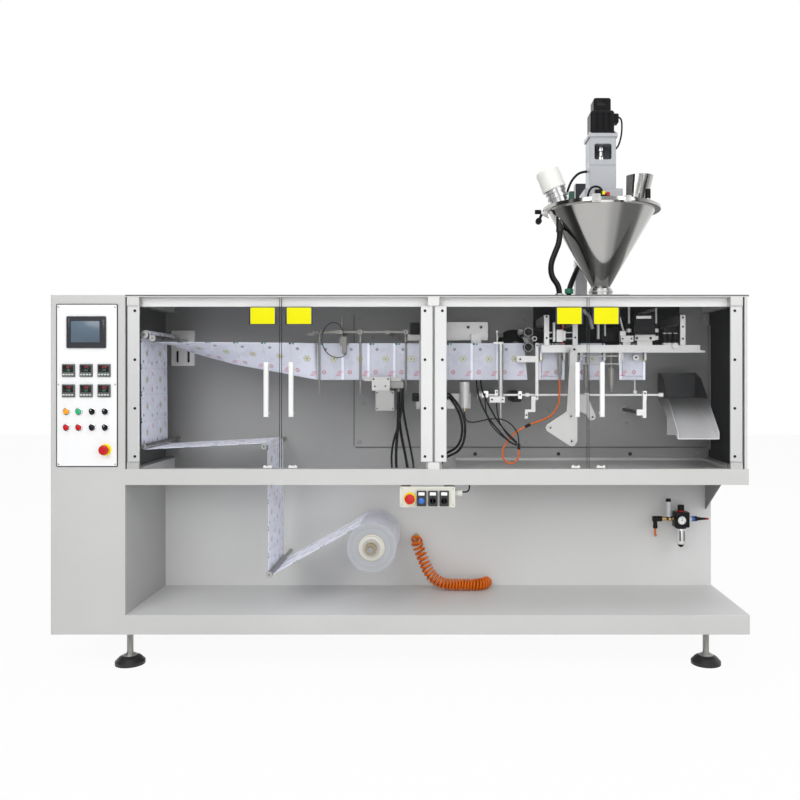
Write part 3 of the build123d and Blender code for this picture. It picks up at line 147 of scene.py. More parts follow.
WHITE = (1.0, 1.0, 1.0)
SHOWS_BACKGROUND = ("Camera", "Glossy", "Transmission")
ROOM_GREY = (0.8, 0.81, 0.83)
ROOM_IN_METAL = (0.46, 0.46, 0.465)
ROOM_STRENGTH = 0.62
FLAG_DEPTH = 0.94
world = bpy.data.worlds.new("room")
world.use_nodes = True
bpy.context.scene.world = world
room_tree = world.node_tree
shown = ray_is(room_tree, *SHOWS_BACKGROUND)
in_metal = ray_is(room_tree, "Glossy")
heading_x, heading_y, _ = Signal.node(room_tree, "TexCoord", output="Generated").axes()
turn_from_front = abs(heading_x.maths("ARCTAN2", heading_y * -1.0))
flag_right = turn_from_front.ramp(0.55, 0.7) * turn_from_front.ramp(1.25, 1.05)
flag_left = turn_from_front.ramp(1.2, 1.32) * turn_from_front.ramp(1.95, 1.75) * (heading_x < 0.0)
room_colour = blended(shown, ROOM_GREY, WHITE)
room_colour = blended(in_metal * turn_from_front.ramp(1.9, 1.3), room_colour, ROOM_IN_METAL)
room_colour = blended(in_metal * (flag_right | flag_left) * FLAG_DEPTH, room_colour, (0.0, 0.0, 0.0))
room_strength = shown * (1.0 - ROOM_STRENGTH) + ROOM_STRENGTH
room_light = Signal.node(room_tree, "Background", {}, {"Color": room_colour, "Strength": room_strength})
room_tree.links.new(room_light.socket, room_tree.nodes["World Output"].inputs["Surface"])

LAMPS = (
    # name, place, aim, size, watts
    ("lamp_front", (-1.6, -4.6, 3.6), (0.0, 0.0, 0.9), 3.2, 108.0),
    ("lamp_low", (0.8, -4.6, 0.55), (0.2, 0.0, 0.35), 2.4, 34.0),
    ("lamp_right", (3.4, -3.6, 3.0), (0.3, 0.0, 1.0), 2.6, 55.0),
    ("lamp_top", (0.2, -0.6, 4.6), (0.2, 0.0, 1.0), 3.0, 45.0),
    ("lamp_rear", (0.5, 5.0, 3.2), (0.0, 0.3, 1.0), 3.0, 45.0),
)
for lamp_name, lamp_place, lamp_aim, lamp_size, lamp_power in LAMPS:
    lamp_data = bpy.data.lights.new(lamp_name, "AREA")
    lamp_data.energy = lamp_power
    lamp_data.size = lamp_size
    lamp = bpy.data.objects.new(lamp_name, lamp_data)
    lamp.location = lamp_place
    lamp.rotation_euler = (Vector(lamp_aim) - Vector(lamp_place)).to_track_quat("-Z", "Y").to_euler()
    bpy.context.scene.collection.objects.link(lamp)

FLOOR_HALF = 12.0
floor_corners = [(x * FLOOR_HALF, y * FLOOR_HALF, 0) for x, y in ((-1, -1), (1, -1), (1, 1), (-1, 1))]
floor_mesh = bpy.data.meshes.new("floor")
floor_mesh.from_pydata(floor_corners, [], [(0, 1, 2, 3)])
floor = bpy.data.objects.new("floor", floor_mesh)
bpy.context.scene.collection.objects.link(floor)
floor_finish = bpy.data.materials.new("floor_white")
floor_finish.use_nodes = True
floor_tree = floor_finish.node_tree
floor_tree.nodes.remove(floor_tree.nodes["Principled BSDF"])
floor_lit = Signal.node(floor_tree, "BsdfDiffuse", {}, {"Color": (0.86, 0.86, 0.86)})
floor_x = Signal.node(floor_tree, "TexCoord", output="Object").axes()[0]
flag_at_right = (floor_x.ramp(0.75, 1.7) * 0.4 + floor_x.ramp(1.8, 2.4) * 0.45) * floor_x.ramp(5.2, 4.2)
flag_at_left = floor_x.ramp(-1.3, -1.8) * floor_x.ramp(-4.0, -3.2)
floor_strength = 1 - ray_is(floor_tree, "Glossy") * ((flag_at_right + flag_at_left) * 0.86 + 0.08)
floor_glow = Signal.node(floor_tree, "Emission", {}, {"Color": WHITE, "Strength": floor_strength})
floor_mix = Signal.node(floor_tree, "MixShader", {},
                        {0: ray_is(floor_tree, *SHOWS_BACKGROUND) * 0.94, 1: floor_lit, 2: floor_glow})
floor_tree.links.new(floor_mix.socket, floor_tree.nodes["Material Output"].inputs["Surface"])
floor_mesh.materials.append(floor_finish)


# Painted sheet steel. The beam, door frame and covers are folded sheet with a satin light grey powder coat,
# which has a fine orange peel and is a little duller where hands rub it.
PAINT_GREY = (0.545, 0.545, 0.53)
PEEL_SCALE = 650.0
PEEL_DEPTH = 0.0004


def new_finish(name):
    """A material and its Object coordinates."""
    material = bpy.data.materials.new(name)
    material.use_nodes = True
    return material, Signal.node(material.node_tree, "TexCoord", output="Object")


def dress(material, *names):
    """Gives CAD nodes one material."""
    for name in names:
        mesh = nodes[name].data
        mesh.materials.clear()
        mesh.materials.append(material)


def shade(material, sockets, *names):
    """Sets or links sockets of the material's Principled shader, and gives it to CAD nodes."""
    shader = material.node_tree.nodes["Principled BSDF"]
    for name, value in sockets.items():
        if isinstance(value, Signal):
            material.node_tree.links.new(value.socket, shader.inputs[name])
        elif isinstance(value, tuple):
            shader.inputs[name].default_value = (*value, 1)
        else:
            shader.inputs[name].default_value = value
    dress(material, *names)
    return material


def noise(place, scale, detail=2.0, stretch=None):
    """Noise from 0 to 1 on Object coordinates, drawn out along an axis by a small stretch factor."""
    if stretch:
        place = Signal.node(place.tree, "Mapping", {}, {"Vector": place, "Scale": stretch})
    return Signal.node(place.tree, "TexNoise", {}, {"Vector": place, "Scale": scale, "Detail": detail})


def tinted(colour, factor):
    """Colour made lighter or darker by a factor signal."""
    return Signal.node(factor.tree, "VectorMath", {"operation": "SCALE"}, {0: colour, "Scale": factor})


def bump(height, distance, strength=0.5):
    inputs = {"Strength": strength, "Distance": distance, "Height": height}
    return Signal.node(height.tree, "Bump", {}, inputs)


def skin(place, colour, roughness=0.42, cloud=0.05, peel=0.15):
    """Sockets of paint or moulded plastic: faint clouds in its colour and gloss over a fine uneven skin."""
    patches = noise(place, 4.0, 4.0)
    return {
        "Base Color": tinted(colour, patches * (2 * cloud) + (1 - cloud)),
        "Roughness": patches * 0.12 + (roughness - 0.06),
        "Normal": bump(noise(place, PEEL_SCALE), PEEL_DEPTH, peel),
    }


def coated(name, colour, roughness, cloud=0.05, peel=0.15, coat=0.0, gloss=0.5):
    """Painted or moulded finish of one colour."""
    material, place = new_finish(name)
    sockets = skin(place, colour, roughness, cloud, peel)
    return shade(material, {**sockets, "Coat Weight": coat, "Specular IOR Level": gloss})


dress(coated("grey_powder_coat", PAINT_GREY, 0.42), "middle_beam", "rear_covers")
# Painted light: the door frame's rail has a lighter copy of the grey coat, to offset the shade under the
# roof.
dress(coated("frame_rail_coat", (0.72, 0.72, 0.71), 0.4), "door_frame")


# Roof. A stainless sheet is laid on the body, brushed on top and painted at its edges. Its front edge carries
# a thin dark sealing strip. The plain covers at the back are held by rows of small screws.
def joined(name, parts, material, body="root"):
    """One mesh piece from closed tubes of points, each an array (rings, around, 3); rings join their
    neighbours with quads, the end rings are capped, doubles merge and faces turn outwards."""
    vertices, faces, start = [], [], 0
    for rings in parts:
        count, around = rings.shape[:2]
        index = start + np.arange(count * around).reshape(count, around)
        after = np.roll(index, -1, axis=1)
        quads = np.stack([index[:-1], after[:-1], after[1:], index[1:]], -1).reshape(-1, 4)
        faces += quads.tolist() + [index[0, ::-1].tolist(), index[-1].tolist()]
        vertices.append(rings.reshape(-1, 3))
        start += count * around
    mesh = bpy.data.meshes.new(name)
    mesh.from_pydata(np.concatenate(vertices).tolist(), [], faces)
    form = bmesh.new()
    form.from_mesh(mesh)
    bmesh.ops.remove_doubles(form, verts=form.verts, dist=1e-6)
    bmesh.ops.dissolve_degenerate(form, edges=form.edges, dist=1e-7)
    bmesh.ops.recalc_face_normals(form, faces=form.faces)
    form.to_mesh(mesh)
    form.free()
    return placed(name, mesh, material, body)


def placed(name, mesh, material, body, smooth=35.0):
    """Puts a finished mesh in the scene with its material and its body."""
    mesh.polygons.foreach_set("use_smooth", np.ones(len(mesh.polygons), bool))
    mesh.set_sharp_from_angle(angle=math.radians(smooth))
    mesh.materials.append(material)
    piece = bpy.data.objects.new(name, mesh)
    bpy.context.scene.collection.objects.link(piece)
    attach(piece, body)
    return piece


def turned(profile, centre, axis="y", around=20):
    """Rings of a turned form: a profile of (distance along the axis, radius) spun about the axis."""
    along, radius = np.array(profile, float).T
    angle = np.linspace(0, 2 * math.pi, around, endpoint=False)
    first = radius[:, None] * np.cos(angle)
    second = radius[:, None] * np.sin(angle)
    third = np.repeat(along[:, None], around, axis=1)
    order = {"x": (third, first, second), "y": (second, third, first), "z": (first, second, third)}[axis]
    return np.stack(order, -1) + np.array(centre, float)


def slab(x, y, z, corner=0.002, bevel=0.0008, axis="y", steps=3):
    """Rings of a block between two values on each axis: a rounded rectangle carried along one axis,
    drawn in by a quarter circle at each end. Corners and bevels stay just under half of what holds them."""
    spans = dict(zip("xyz", (x, y, z)))
    low, high = spans.pop(axis)
    (a0, a1), (b0, b1) = spans.values()
    just_over_two = 2.01
    corner = min(corner, (a1 - a0) / just_over_two, (b1 - b0) / just_over_two)
    bevel = min(bevel, (high - low) / just_over_two, corner)
    turn = np.linspace(0, math.pi / 2, steps + 1)
    angle = (turn[None, :] + np.arange(4)[:, None] * math.pi / 2).ravel()
    corner_a = np.repeat([a1 - corner, a0 + corner, a0 + corner, a1 - corner], steps + 1)
    corner_b = np.repeat([b1 - corner, b1 - corner, b0 + corner, b0 + corner], steps + 1)
    rise = bevel * (1 - np.cos(turn))
    draw = bevel * (1 - np.sin(turn))
    along = np.concatenate([low + rise, high - rise[::-1]])
    inset = np.concatenate([draw, draw[::-1]])
    first = corner_a + (corner - inset[:, None]) * np.cos(angle)
    second = corner_b + (corner - inset[:, None]) * np.sin(angle)
    third = np.repeat(along[:, None], len(angle), axis=1)
    order = {"x": (third, first, second), "y": (first, third, second), "z": (first, second, third)}[axis]
    return np.stack(order, -1)


def screw_heads(places, radius, height, axis="y", side=-1.0):
    """Rings of low domed screw heads with a socket, each at a place on the surface that carries it."""
    profile = [(0, 0), (0, radius), (0.5 * height, 0.97 * radius), (height, 0.72 * radius),
               (height, 0.42 * radius), (0.45 * height, 0.38 * radius), (0.45 * height, 0)]
    profile = [(side * along, r) for along, r in profile]
    return [turned(profile, place, axis, 12) for place in places]


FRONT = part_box("middle_beam")[0].y
ROOF_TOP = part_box("roof_plate")[1].z
BAY_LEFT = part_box("middle_beam")[0].x
BODY_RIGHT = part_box("middle_beam")[1].x

roof_sheet, roof_place = new_finish("roof_sheet")
is_roof_top = roof_place.axes()[2].ramp(ROOF_TOP - 0.0012, ROOF_TOP - 0.0004)
roof_brushing = noise(roof_place, 60.0, 3.0, (0.03, 1.0, 1.0))
roof_steel = tinted((0.21, 0.21, 0.205), roof_brushing * 0.3 + 0.85)
shade(roof_sheet, {
    "Base Color": blended(is_roof_top, PAINT_GREY, roof_steel),
    "Metallic": is_roof_top,
    "Roughness": roof_brushing * 0.12 + 0.24,
}, "roof_plate")

rubber_black = coated("black_rubber", (0.016, 0.016, 0.017), 0.62, cloud=0.12, peel=0.3, gloss=0.25)
seal = slab((BAY_LEFT, BODY_RIGHT), (FRONT - 0.0015, FRONT + 0.004), (ROOF_TOP - 0.0028, ROOF_TOP + 0.0006),
            0.001, 0.0005, "x")
joined("roof_seal", [seal], rubber_black)

screw_steel, screw_place = new_finish("screw_steel")
shade(screw_steel, {"Base Color": (0.55, 0.55, 0.54), "Metallic": 1.0,
                    "Roughness": noise(screw_place, 300.0) * 0.2 + 0.28})
COVERS = 3
COVER_INSET = 0.03
SCREW_HEIGHTS = (0.27, 0.56, 0.85, 1.13, 1.36)
cover_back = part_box("rear_covers")[1].y
cover_joints = np.linspace(BAY_LEFT, BODY_RIGHT, COVERS + 1)
cover_spans = [*zip(cover_joints, cover_joints[1:]), (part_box("control_cabinet")[0].x, BAY_LEFT)]
cover_screws = [(x, cover_back, z) for left, right in cover_spans
                for x in (left + COVER_INSET, right - COVER_INSET) for z in SCREW_HEIGHTS]
joined("cover_screws", screw_heads(cover_screws, 0.006, 0.0014, "y", 1.0), screw_steel)


# Levelling feet. Each is a black moulded pad on a zinc plated threaded stem with a lock nut under the plinth.
PAD_TOP_Z = 0.0335
foot_finish, foot_place = new_finish("foot_rubber_and_zinc")
is_stem = foot_place.axes()[2].ramp(PAD_TOP_Z, PAD_TOP_Z + 0.002)
thread = Signal.node(foot_place.tree, "TexWave", {"bands_direction": "Z"},
                     {"Vector": foot_place, "Scale": 160.0})
shade(foot_finish, {
    "Base Color": blended(is_stem, (0.018, 0.018, 0.019), (0.56, 0.56, 0.54)),
    "Metallic": is_stem,
    "Roughness": noise(foot_place, 60.0) * 0.15 + 0.32,
    "Normal": bump(thread * is_stem, 0.0012, 0.7),
}, "levelling_feet")


# Bays. The plinth, cabinet, cross members and housing are painted like the body. Inside a bay their faces
# and the drive hole carry painted shade, and the shelf top painted light. The back panel and mounting plate
# are a darker grey with painted shade under the beam, beside the cabinet, behind the rail and at the plate's
# edges. The right end wall is painted nearly black inside as painted shade; the floor tray is bare sheet.
# Round headed screws hold the plates.
def within(place, x=None, y=None, z=None):
    """1 inside a box on the given axes and 0 outside it."""
    inside = None
    for axis, limits in zip(place.axes(), (x, y, z)):
        if limits:
            part = (axis > limits[0]) * (axis < limits[1])
            inside = part if inside is None else inside * part
    return inside


SHADE_BLACK = (0.01, 0.01, 0.01)
PANEL_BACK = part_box("back_panel")[1].y
SPLIT_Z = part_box("middle_beam")[0].z
CABINET_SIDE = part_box("control_cabinet")[1].x
SHELF_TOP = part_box("base_plinth")[1].z
SPLIT_ON_SIDE_Z = 0.735
DRIVE_HOLE = {"x": (0.394, 0.532), "z": (1.184, 1.322)}
DRIVE_HOLE_DEPTH = 0.0605

housing_finish, housing_place = new_finish("housing_coat")
# Painted shade: inside the drive hole the deeper faces of the pocket are painted near black.
in_hole = within(housing_place, y=(-1.0, PANEL_BACK + DRIVE_HOLE_DEPTH), **DRIVE_HOLE)
is_drive = housing_place.axes()[1] < PANEL_BACK - 0.0005
hole_colour_and_shade = blended(is_drive, (0.004, 0.004, 0.004), (0.3, 0.3, 0.3))
housing_colour = blended(in_hole, PAINT_GREY, hole_colour_and_shade)
shade(housing_finish, {**skin(housing_place, housing_colour), "Specular IOR Level": 0.12}, "rear_housing")

cabinet_finish, cabinet_place = new_finish("cabinet_coat")
cabinet_x, cabinet_y, cabinet_z = cabinet_place.axes()
# Painted shade: the cabinet's side faces in the bays are painted darker, nearly black in the upper bay.
bay_face_in_shade = cabinet_x.ramp(CABINET_SIDE - 0.0012, CABINET_SIDE - 0.0006) * cabinet_y.ramp(FRONT, FRONT + 0.02)
upper_face_in_shade = bay_face_in_shade * cabinet_z.ramp(SPLIT_ON_SIDE_Z, SPLIT_ON_SIDE_Z + 0.005)
cabinet_colour = blended(bay_face_in_shade, PAINT_GREY, (0.42, 0.42, 0.41))
cabinet_colour = blended(upper_face_in_shade, cabinet_colour, (0.085, 0.085, 0.083))
shade(cabinet_finish, skin(cabinet_place, cabinet_colour), "control_cabinet")

member_finish, member_place = new_finish("member_coat")
# Painted shade: the gusset at the right end is painted a darker grey.
gusset_in_shade = within(member_place, x=(1.15, 1.4), y=(FRONT + 0.03, 1.0), z=(0.0, 0.75))
shade(member_finish, skin(member_place, blended(gusset_in_shade, PAINT_GREY, (0.26, 0.26, 0.255))), "cross_members")

plinth_finish, plinth_place = new_finish("plinth_coat")
# Painted light: the shelf's top face is painted lighter than the plinth's front.
lit_shelf_top = plinth_place.axes()[2].ramp(SHELF_TOP - 0.0012, SHELF_TOP - 0.0004)
shade(plinth_finish, skin(plinth_place, blended(lit_shelf_top, PAINT_GREY, (0.66, 0.66, 0.65))), "base_plinth")

LOWER_GREY = (0.68, 0.68, 0.67)
UPPER_GREY = (0.33, 0.33, 0.327)
# Painted shade: a black field on the back panel and mounting plate stands for the dark recess behind the
# rail.
SHADED_RECESS = {"x": (0.552, 1.188), "z": (1.252, 1.45)}
# Painted shade: a black patch behind the switch bracket darkens the slots in it.
SHADED_SLOTS = {"x": (-1.012, -0.924), "z": (1.17, 1.308)}
back_paint, back_place = new_finish("bay_grey")
back_patches = noise(back_place, 3.0, 3.0)
back_x, _, back_z = back_place.axes()
is_upper = back_z.ramp(SPLIT_Z, SPLIT_Z + 0.004)
# Painted shade: the lower bay's back is darker towards the beam over it.
shade_under_beam = back_z.ramp(SPLIT_Z - 0.2, SPLIT_Z - 0.01) * (1 - is_upper)
# Painted shade: the upper bay's back is darker towards the cabinet at its left.
shade_beside_cabinet = back_x.ramp(-1.06, -0.8) * 0.45 * is_upper + (1 - is_upper * 0.45)
in_painted_shade = within(back_place, **SHADED_RECESS) + within(back_place, **SHADED_SLOTS)
back_colour = blended(in_painted_shade, blended(is_upper, LOWER_GREY, UPPER_GREY), SHADE_BLACK)
shade(back_paint, {
    "Base Color": tinted(back_colour, (back_patches * 0.08 + 0.96 - shade_under_beam * 0.32) * shade_beside_cabinet),
    "Roughness": back_patches * 0.12 + 0.4,
    "Normal": bump(noise(back_place, PEEL_SCALE), PEEL_DEPTH, 0.15),
    "Specular IOR Level": 0.2,
}, "back_panel")

plate_paint, plate_place = new_finish("mounting_plate_grey")
plate_x, _, plate_z = plate_place.axes()
is_bracket = plate_x < -0.85
# Painted shade: dark bands along the plate's left and lower edges, where it stands off the back panel.
shade_left_edge = (plate_x < -0.2242) * (plate_x > -0.3)
shade_low_edge = plate_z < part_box("mounting_plate")[0].z + 0.0028
# Painted shade of the recess behind the rail, as on the back panel.
plate_colour = blended(within(plate_place, **SHADED_RECESS), (0.325, 0.325, 0.322), SHADE_BLACK)
plate_colour = blended(shade_left_edge | shade_low_edge, plate_colour, (0.035, 0.035, 0.035))
plate_colour = blended(is_bracket, plate_colour, (0.86, 0.845, 0.82))
shade(plate_paint, {
    **skin(plate_place, plate_colour, 0.44),
    "Metallic": is_bracket * 0.5,
    "Specular IOR Level": 0.2,
}, "mounting_plate")

wall_paint, wall_place = new_finish("end_wall_paint")
wall_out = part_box("side_wall")[1].x
wall_x, wall_y, _ = wall_place.axes()
# Painted shade: the inside of the end wall is painted nearly black, as it lies unlit in the bays.
inside_in_shade = wall_x.ramp(wall_out - 0.0005, wall_out - 0.0035) * wall_y.ramp(FRONT + 0.002, FRONT + 0.006)
wall_colour_and_shade = blended(inside_in_shade, (0.6, 0.6, 0.585), (0.036, 0.036, 0.038))
shade(wall_paint, {
    **skin(wall_place, wall_colour_and_shade, 0.68),
    "Base Color": wall_colour_and_shade,
    "Specular IOR Level": 0.18,
}, "side_wall")


def brushed(name, colour, roughness=0.32, axis="x", streak=0.1, metallic=1.0):
    """Steel or aluminium with fine grinding streaks along one axis, and faint smudges."""
    material, place = new_finish(name)
    stretch = {"x": (0.015, 1.0, 1.0), "y": (1.0, 0.015, 1.0), "z": (1.0, 1.0, 0.015)}[axis]
    lines = noise(place, 900.0, 3.0, stretch)
    smudge = noise(place, 14.0, 3.0)
    return shade(material, {
        "Base Color": tinted(colour, lines * streak + (1 - streak / 2) + smudge * 0.06 - 0.03),
        "Metallic": metallic,
        "Roughness": lines * 0.16 + smudge * 0.1 + (roughness - 0.13),
        "Normal": bump(lines, 0.00015, 0.35),
    })


dress(brushed("tray_sheet", (0.54, 0.54, 0.535), 0.42, metallic=0.2), "floor_tray")
PLATE_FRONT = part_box("mounting_plate")[0].y
PANEL_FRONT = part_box("back_panel")[0].y
PLATE_SCREWS = ((-0.142, 1.284), (-0.026, 1.284), (-0.1825, 0.9985), (-0.203, 0.832), (0.414, 1.294),
                (0.623, 0.969), (0.959, 0.91), (1.283, 0.832), (1.283, 1.364), (-0.203, 1.364),
                (0.52, 0.832), (0.52, 1.364))
STRIP_SCREWS = ((0.3, 0.779), (0.662, 0.779), (0.974, 0.779), (1.262, 0.779))
plate_heads = screw_heads([(x, PLATE_FRONT, z) for x, z in PLATE_SCREWS], 0.0088, 0.0035)
strip_heads = screw_heads([(x, PANEL_FRONT, z) for x, z in STRIP_SCREWS], 0.008, 0.003)
joined("plate_screws", plate_heads, plate_paint)
joined("strip_screws", strip_heads, plate_paint)


# Doors. Each has an extruded aluminium stile with four countersunk screws, a clear acrylic leaf with polished
# edges, a white moulded bar handle, a plain yellow plate with a navy border and a catch clip at its foot.
HINGED_SIDES = {1: 1, 2: -1, 3: 1, 4: -1}
PLATE_GAPS = {1: 0.0185, 2: 0.0215, 3: 0.0225, 4: 0.0195}
PLATE_WIDTH = 0.093
PLATE_Z = (1.3165, 1.379)
STILE_SCREW_HEIGHTS = (1.366, 1.18, 0.995, 0.812)
catch_paint = coated("frame_coat", (0.7, 0.7, 0.69), 0.4)
for number, side in HINGED_SIDES.items():
    door = f"door_{number}"
    stile_low, stile_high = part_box(f"{door}_stile")
    leaf_low, leaf_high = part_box(f"{door}_leaf")
    hinge_edge, handle_edge = (stile_low.x, stile_high.x) if side > 0 else (stile_high.x, stile_low.x)
    free_edge = leaf_high.x if side > 0 else leaf_low.x

    stile_finish, stile_place = new_finish(f"stile_and_handle_{number}")
    from_handle = abs(stile_place.axes()[0] - (handle_edge - side * 0.009))
    is_handle = from_handle.ramp(0.022, 0.018)
    extruded = noise(stile_place, 700.0, 2.0, (1.0, 1.0, 0.02))
    stile_colour = tinted((0.63, 0.63, 0.63), extruded * 0.05 + 0.975)
    shade(stile_finish, {
        "Base Color": blended(is_handle, stile_colour, (0.78, 0.78, 0.77)),
        "Metallic": (1.0 - is_handle) * 0.35,
        "Roughness": noise(stile_place, 5.0, 3.0) * 0.12 + 0.34 - is_handle * 0.12,
        "Normal": bump(extruded, 0.0001, 0.3),
    }, f"{door}_stile")

    acrylic, leaf_place = new_finish(f"clear_acrylic_{number}")
    leaf_x, leaf_y, _ = leaf_place.axes()
    leaf_half = (leaf_high.y - leaf_low.y) / 2
    on_side = abs(leaf_y - (leaf_low.y + leaf_half)).ramp(leaf_half, leaf_half - 0.0004)
    # Painted shade: the leaf's edge faces are dark and nearly opaque, for the dark line at the door seams.
    shaded_edge = on_side.maths("MAXIMUM", abs(leaf_x - free_edge).ramp(0.002, 0.0014))
    shade(acrylic, {
        "Base Color": blended(shaded_edge, (0.3, 0.31, 0.32), (0.02, 0.021, 0.023)),
        "Roughness": 0.06,
        "Alpha": shaded_edge * 0.86 + 0.01,
        "IOR": 1.49,
        "Specular IOR Level": 0.2,
    }, f"{door}_leaf")

    heads = [(hinge_edge + side * 0.0295, FRONT + 0.0022, z) for z in STILE_SCREW_HEIGHTS]
    joined(f"{door}_screws", screw_heads(heads, 0.0056, 0.0016), rubber_black, door)

    face = leaf_low.y
    navy = coated(f"plate_navy_{number}", (0.012, 0.014, 0.075), 0.35)
    yellow = coated(f"plate_yellow_{number}", (0.76, 0.72, 0.001), 0.46, cloud=0.02, peel=0.05, gloss=0.12)
    left, right = sorted(free_edge - side * (PLATE_GAPS[number] + reach) for reach in (0, PLATE_WIDTH))
    low, high = PLATE_Z
    border = slab((left - 0.006, right + 0.006), (face - 0.0008, face), (low - 0.001, high + 0.001),
                  0.002, 0.0003)
    plate = slab((left, right), (face - 0.0013, face - 0.0007), PLATE_Z, 0.002, 0.0003)
    joined(f"{door}_plate_border", [border], navy, door)
    joined(f"{door}_plate", [plate], yellow, door)

    left, right = sorted(free_edge - side * reach for reach in (0.028, 0.062))
    low, high = leaf_low.z - 0.0005, leaf_low.z + 0.0085
    lug_depth, lug_z = (face - 0.008, face - 0.005), (low, high + 0.003)
    clip = [slab((left, right), (face - 0.006, face), (low, high), 0.002, 0.0008, "x"),
            slab((left + 0.003, left + 0.01), lug_depth, lug_z, 0.001, 0.0005),
            slab((right - 0.01, right - 0.003), lug_depth, lug_z, 0.001, 0.0005)]
    joined(f"{door}_catch", clip, catch_paint, door)

dress(brushed("pivot_block_metal", (0.62, 0.62, 0.61), 0.4, metallic=0.6), "door_pivots")


# Control panel. A white painted plate with six countersunk screws holds the screen, six temperature
# controllers, two rows of 22 mm buttons and selectors, and an emergency stop with a yellow ring.
def about(middle, half):
    """The span that reaches as far either way from a middle."""
    return middle - half, middle + half


def spun(name, profile, centre, material, axis="y", around=24):
    """A piece of one turned form."""
    return joined(name, [turned(profile, centre, axis, around)], material)


panel_white = coated("panel_white", (0.86, 0.86, 0.86), 0.32, cloud=0.015, peel=0.08)
panel_low, panel_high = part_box("control_panel")
PANEL_FACE = panel_low.y
BLACK_EDGE = 0.0034
panel_coat, panel_place = new_finish("panel_plate_coat")
on_panel = within(panel_place, x=(panel_low.x + BLACK_EDGE, panel_high.x - BLACK_EDGE),
                  z=(panel_low.z + BLACK_EDGE, panel_high.z - BLACK_EDGE))
shade(panel_coat, {
    "Base Color": blended(on_panel, (0.02, 0.02, 0.021), (0.86, 0.86, 0.86)),
    "Roughness": noise(panel_place, 4.0) * 0.1 + 0.27,
    "Normal": bump(noise(panel_place, PEEL_SCALE), PEEL_DEPTH, 0.08),
}, "control_panel")
screw_zs = (panel_low.z + 0.01, (panel_low.z + panel_high.z) / 2 + 0.003, panel_high.z - 0.012)
panel_screws = [(x, PANEL_FACE, z) for x in (panel_low.x + 0.009, panel_high.x - 0.009) for z in screw_zs]
joined("panel_screws", screw_heads(panel_screws, 0.0038, 0.0012), screw_steel)

screen_case = coated("screen_case", (0.03, 0.031, 0.036), 0.24, cloud=0.1, peel=0.05)
dress(screen_case, "touch_screen")
screen_low, screen_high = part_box("touch_screen")
screen_glass, glass_place = new_finish("screen_glass")
glass_x = (screen_low.x + 0.0165, screen_high.x - 0.0235)
glass_z = (screen_low.z + 0.0215, screen_high.z - 0.018)
glass_rise = (glass_place.axes()[2] - glass_z[0]) / (glass_z[1] - glass_z[0])
shade(screen_glass, {
    "Base Color": blended(glass_rise, (0.06, 0.085, 0.115), (0.095, 0.13, 0.165)),
    "Roughness": 0.14,
    "Emission Color": blended(glass_rise, (0.06, 0.085, 0.115), (0.09, 0.125, 0.16)),
    "Emission Strength": 0.35,
})
glass = slab(glass_x, (screen_low.y + 0.0006, screen_low.y + 0.0018), glass_z, 0.0025, 0.0004)
joined("screen_display", [glass], screen_glass)
frame_y = (screen_low.y - 0.0007, screen_low.y + 0.001)
frame_left = slab((screen_low.x + 0.003, screen_low.x + 0.0125), frame_y,
                  (screen_low.z + 0.006, screen_high.z - 0.006), 0.002, 0.0006)
frame_right = slab((screen_high.x - 0.018, screen_high.x - 0.004), frame_y,
                   (screen_low.z + 0.03, screen_high.z - 0.012), 0.002, 0.0006)
joined("screen_frame", [frame_left, frame_right], screen_case)

controller_case = coated("controller_case", (0.09, 0.094, 0.092), 0.4, cloud=0.1, peel=0.2)
dress(controller_case, "temperature_controllers")
window_black = coated("window_black", (0.01, 0.01, 0.011), 0.16, cloud=0.05, peel=0.0)
DIGIT_LIGHT = {
    # tone: colour, colour of its light, strength of its light
    "red": ((0.3, 0.02, 0.02), (0.75, 0.06, 0.06), 0.55),
    "green": ((0.05, 0.2, 0.12), (0.2, 0.65, 0.45), 0.5),
}
key_grey = coated("key_grey", (0.55, 0.6, 0.58), 0.45, cloud=0.04)
LIT_SEGMENTS = {"0": "abcdef", "1": "bc", "2": "abged", "4": "fgbc", "5": "afgcd", "8": "abcdefg"}
SEGMENTS = {
    # letter: across and up from the digit's middle in half heights, and whether the bar lies
    "a": (0.0, 1.0, 1), "b": (0.5, 0.5, 0), "c": (0.5, -0.5, 0), "d": (0.0, -1.0, 1),
    "e": (-0.5, -0.5, 0), "f": (-0.5, 0.5, 0), "g": (0.0, 0.0, 1),
}


def digits(number, x, y, z, height):
    """Seven segment digits in a row: short bars across or upright about each digit's middle."""
    half, width = height / 2, height * 0.045
    bars = []
    for place, mark in enumerate(number):
        for letter in LIT_SEGMENTS[mark]:
            across, up, lying = SEGMENTS[letter]
            reach = (half * 0.42, width) if lying else (width, half * 0.42)
            span_x = about(x + place * height * 0.82 + across * height * 0.5, reach[0])
            bars.append(slab(span_x, (y - 0.0003, y), about(z + up * half, reach[1]), 0.0002, 0.0001, "y", 1))
    return bars


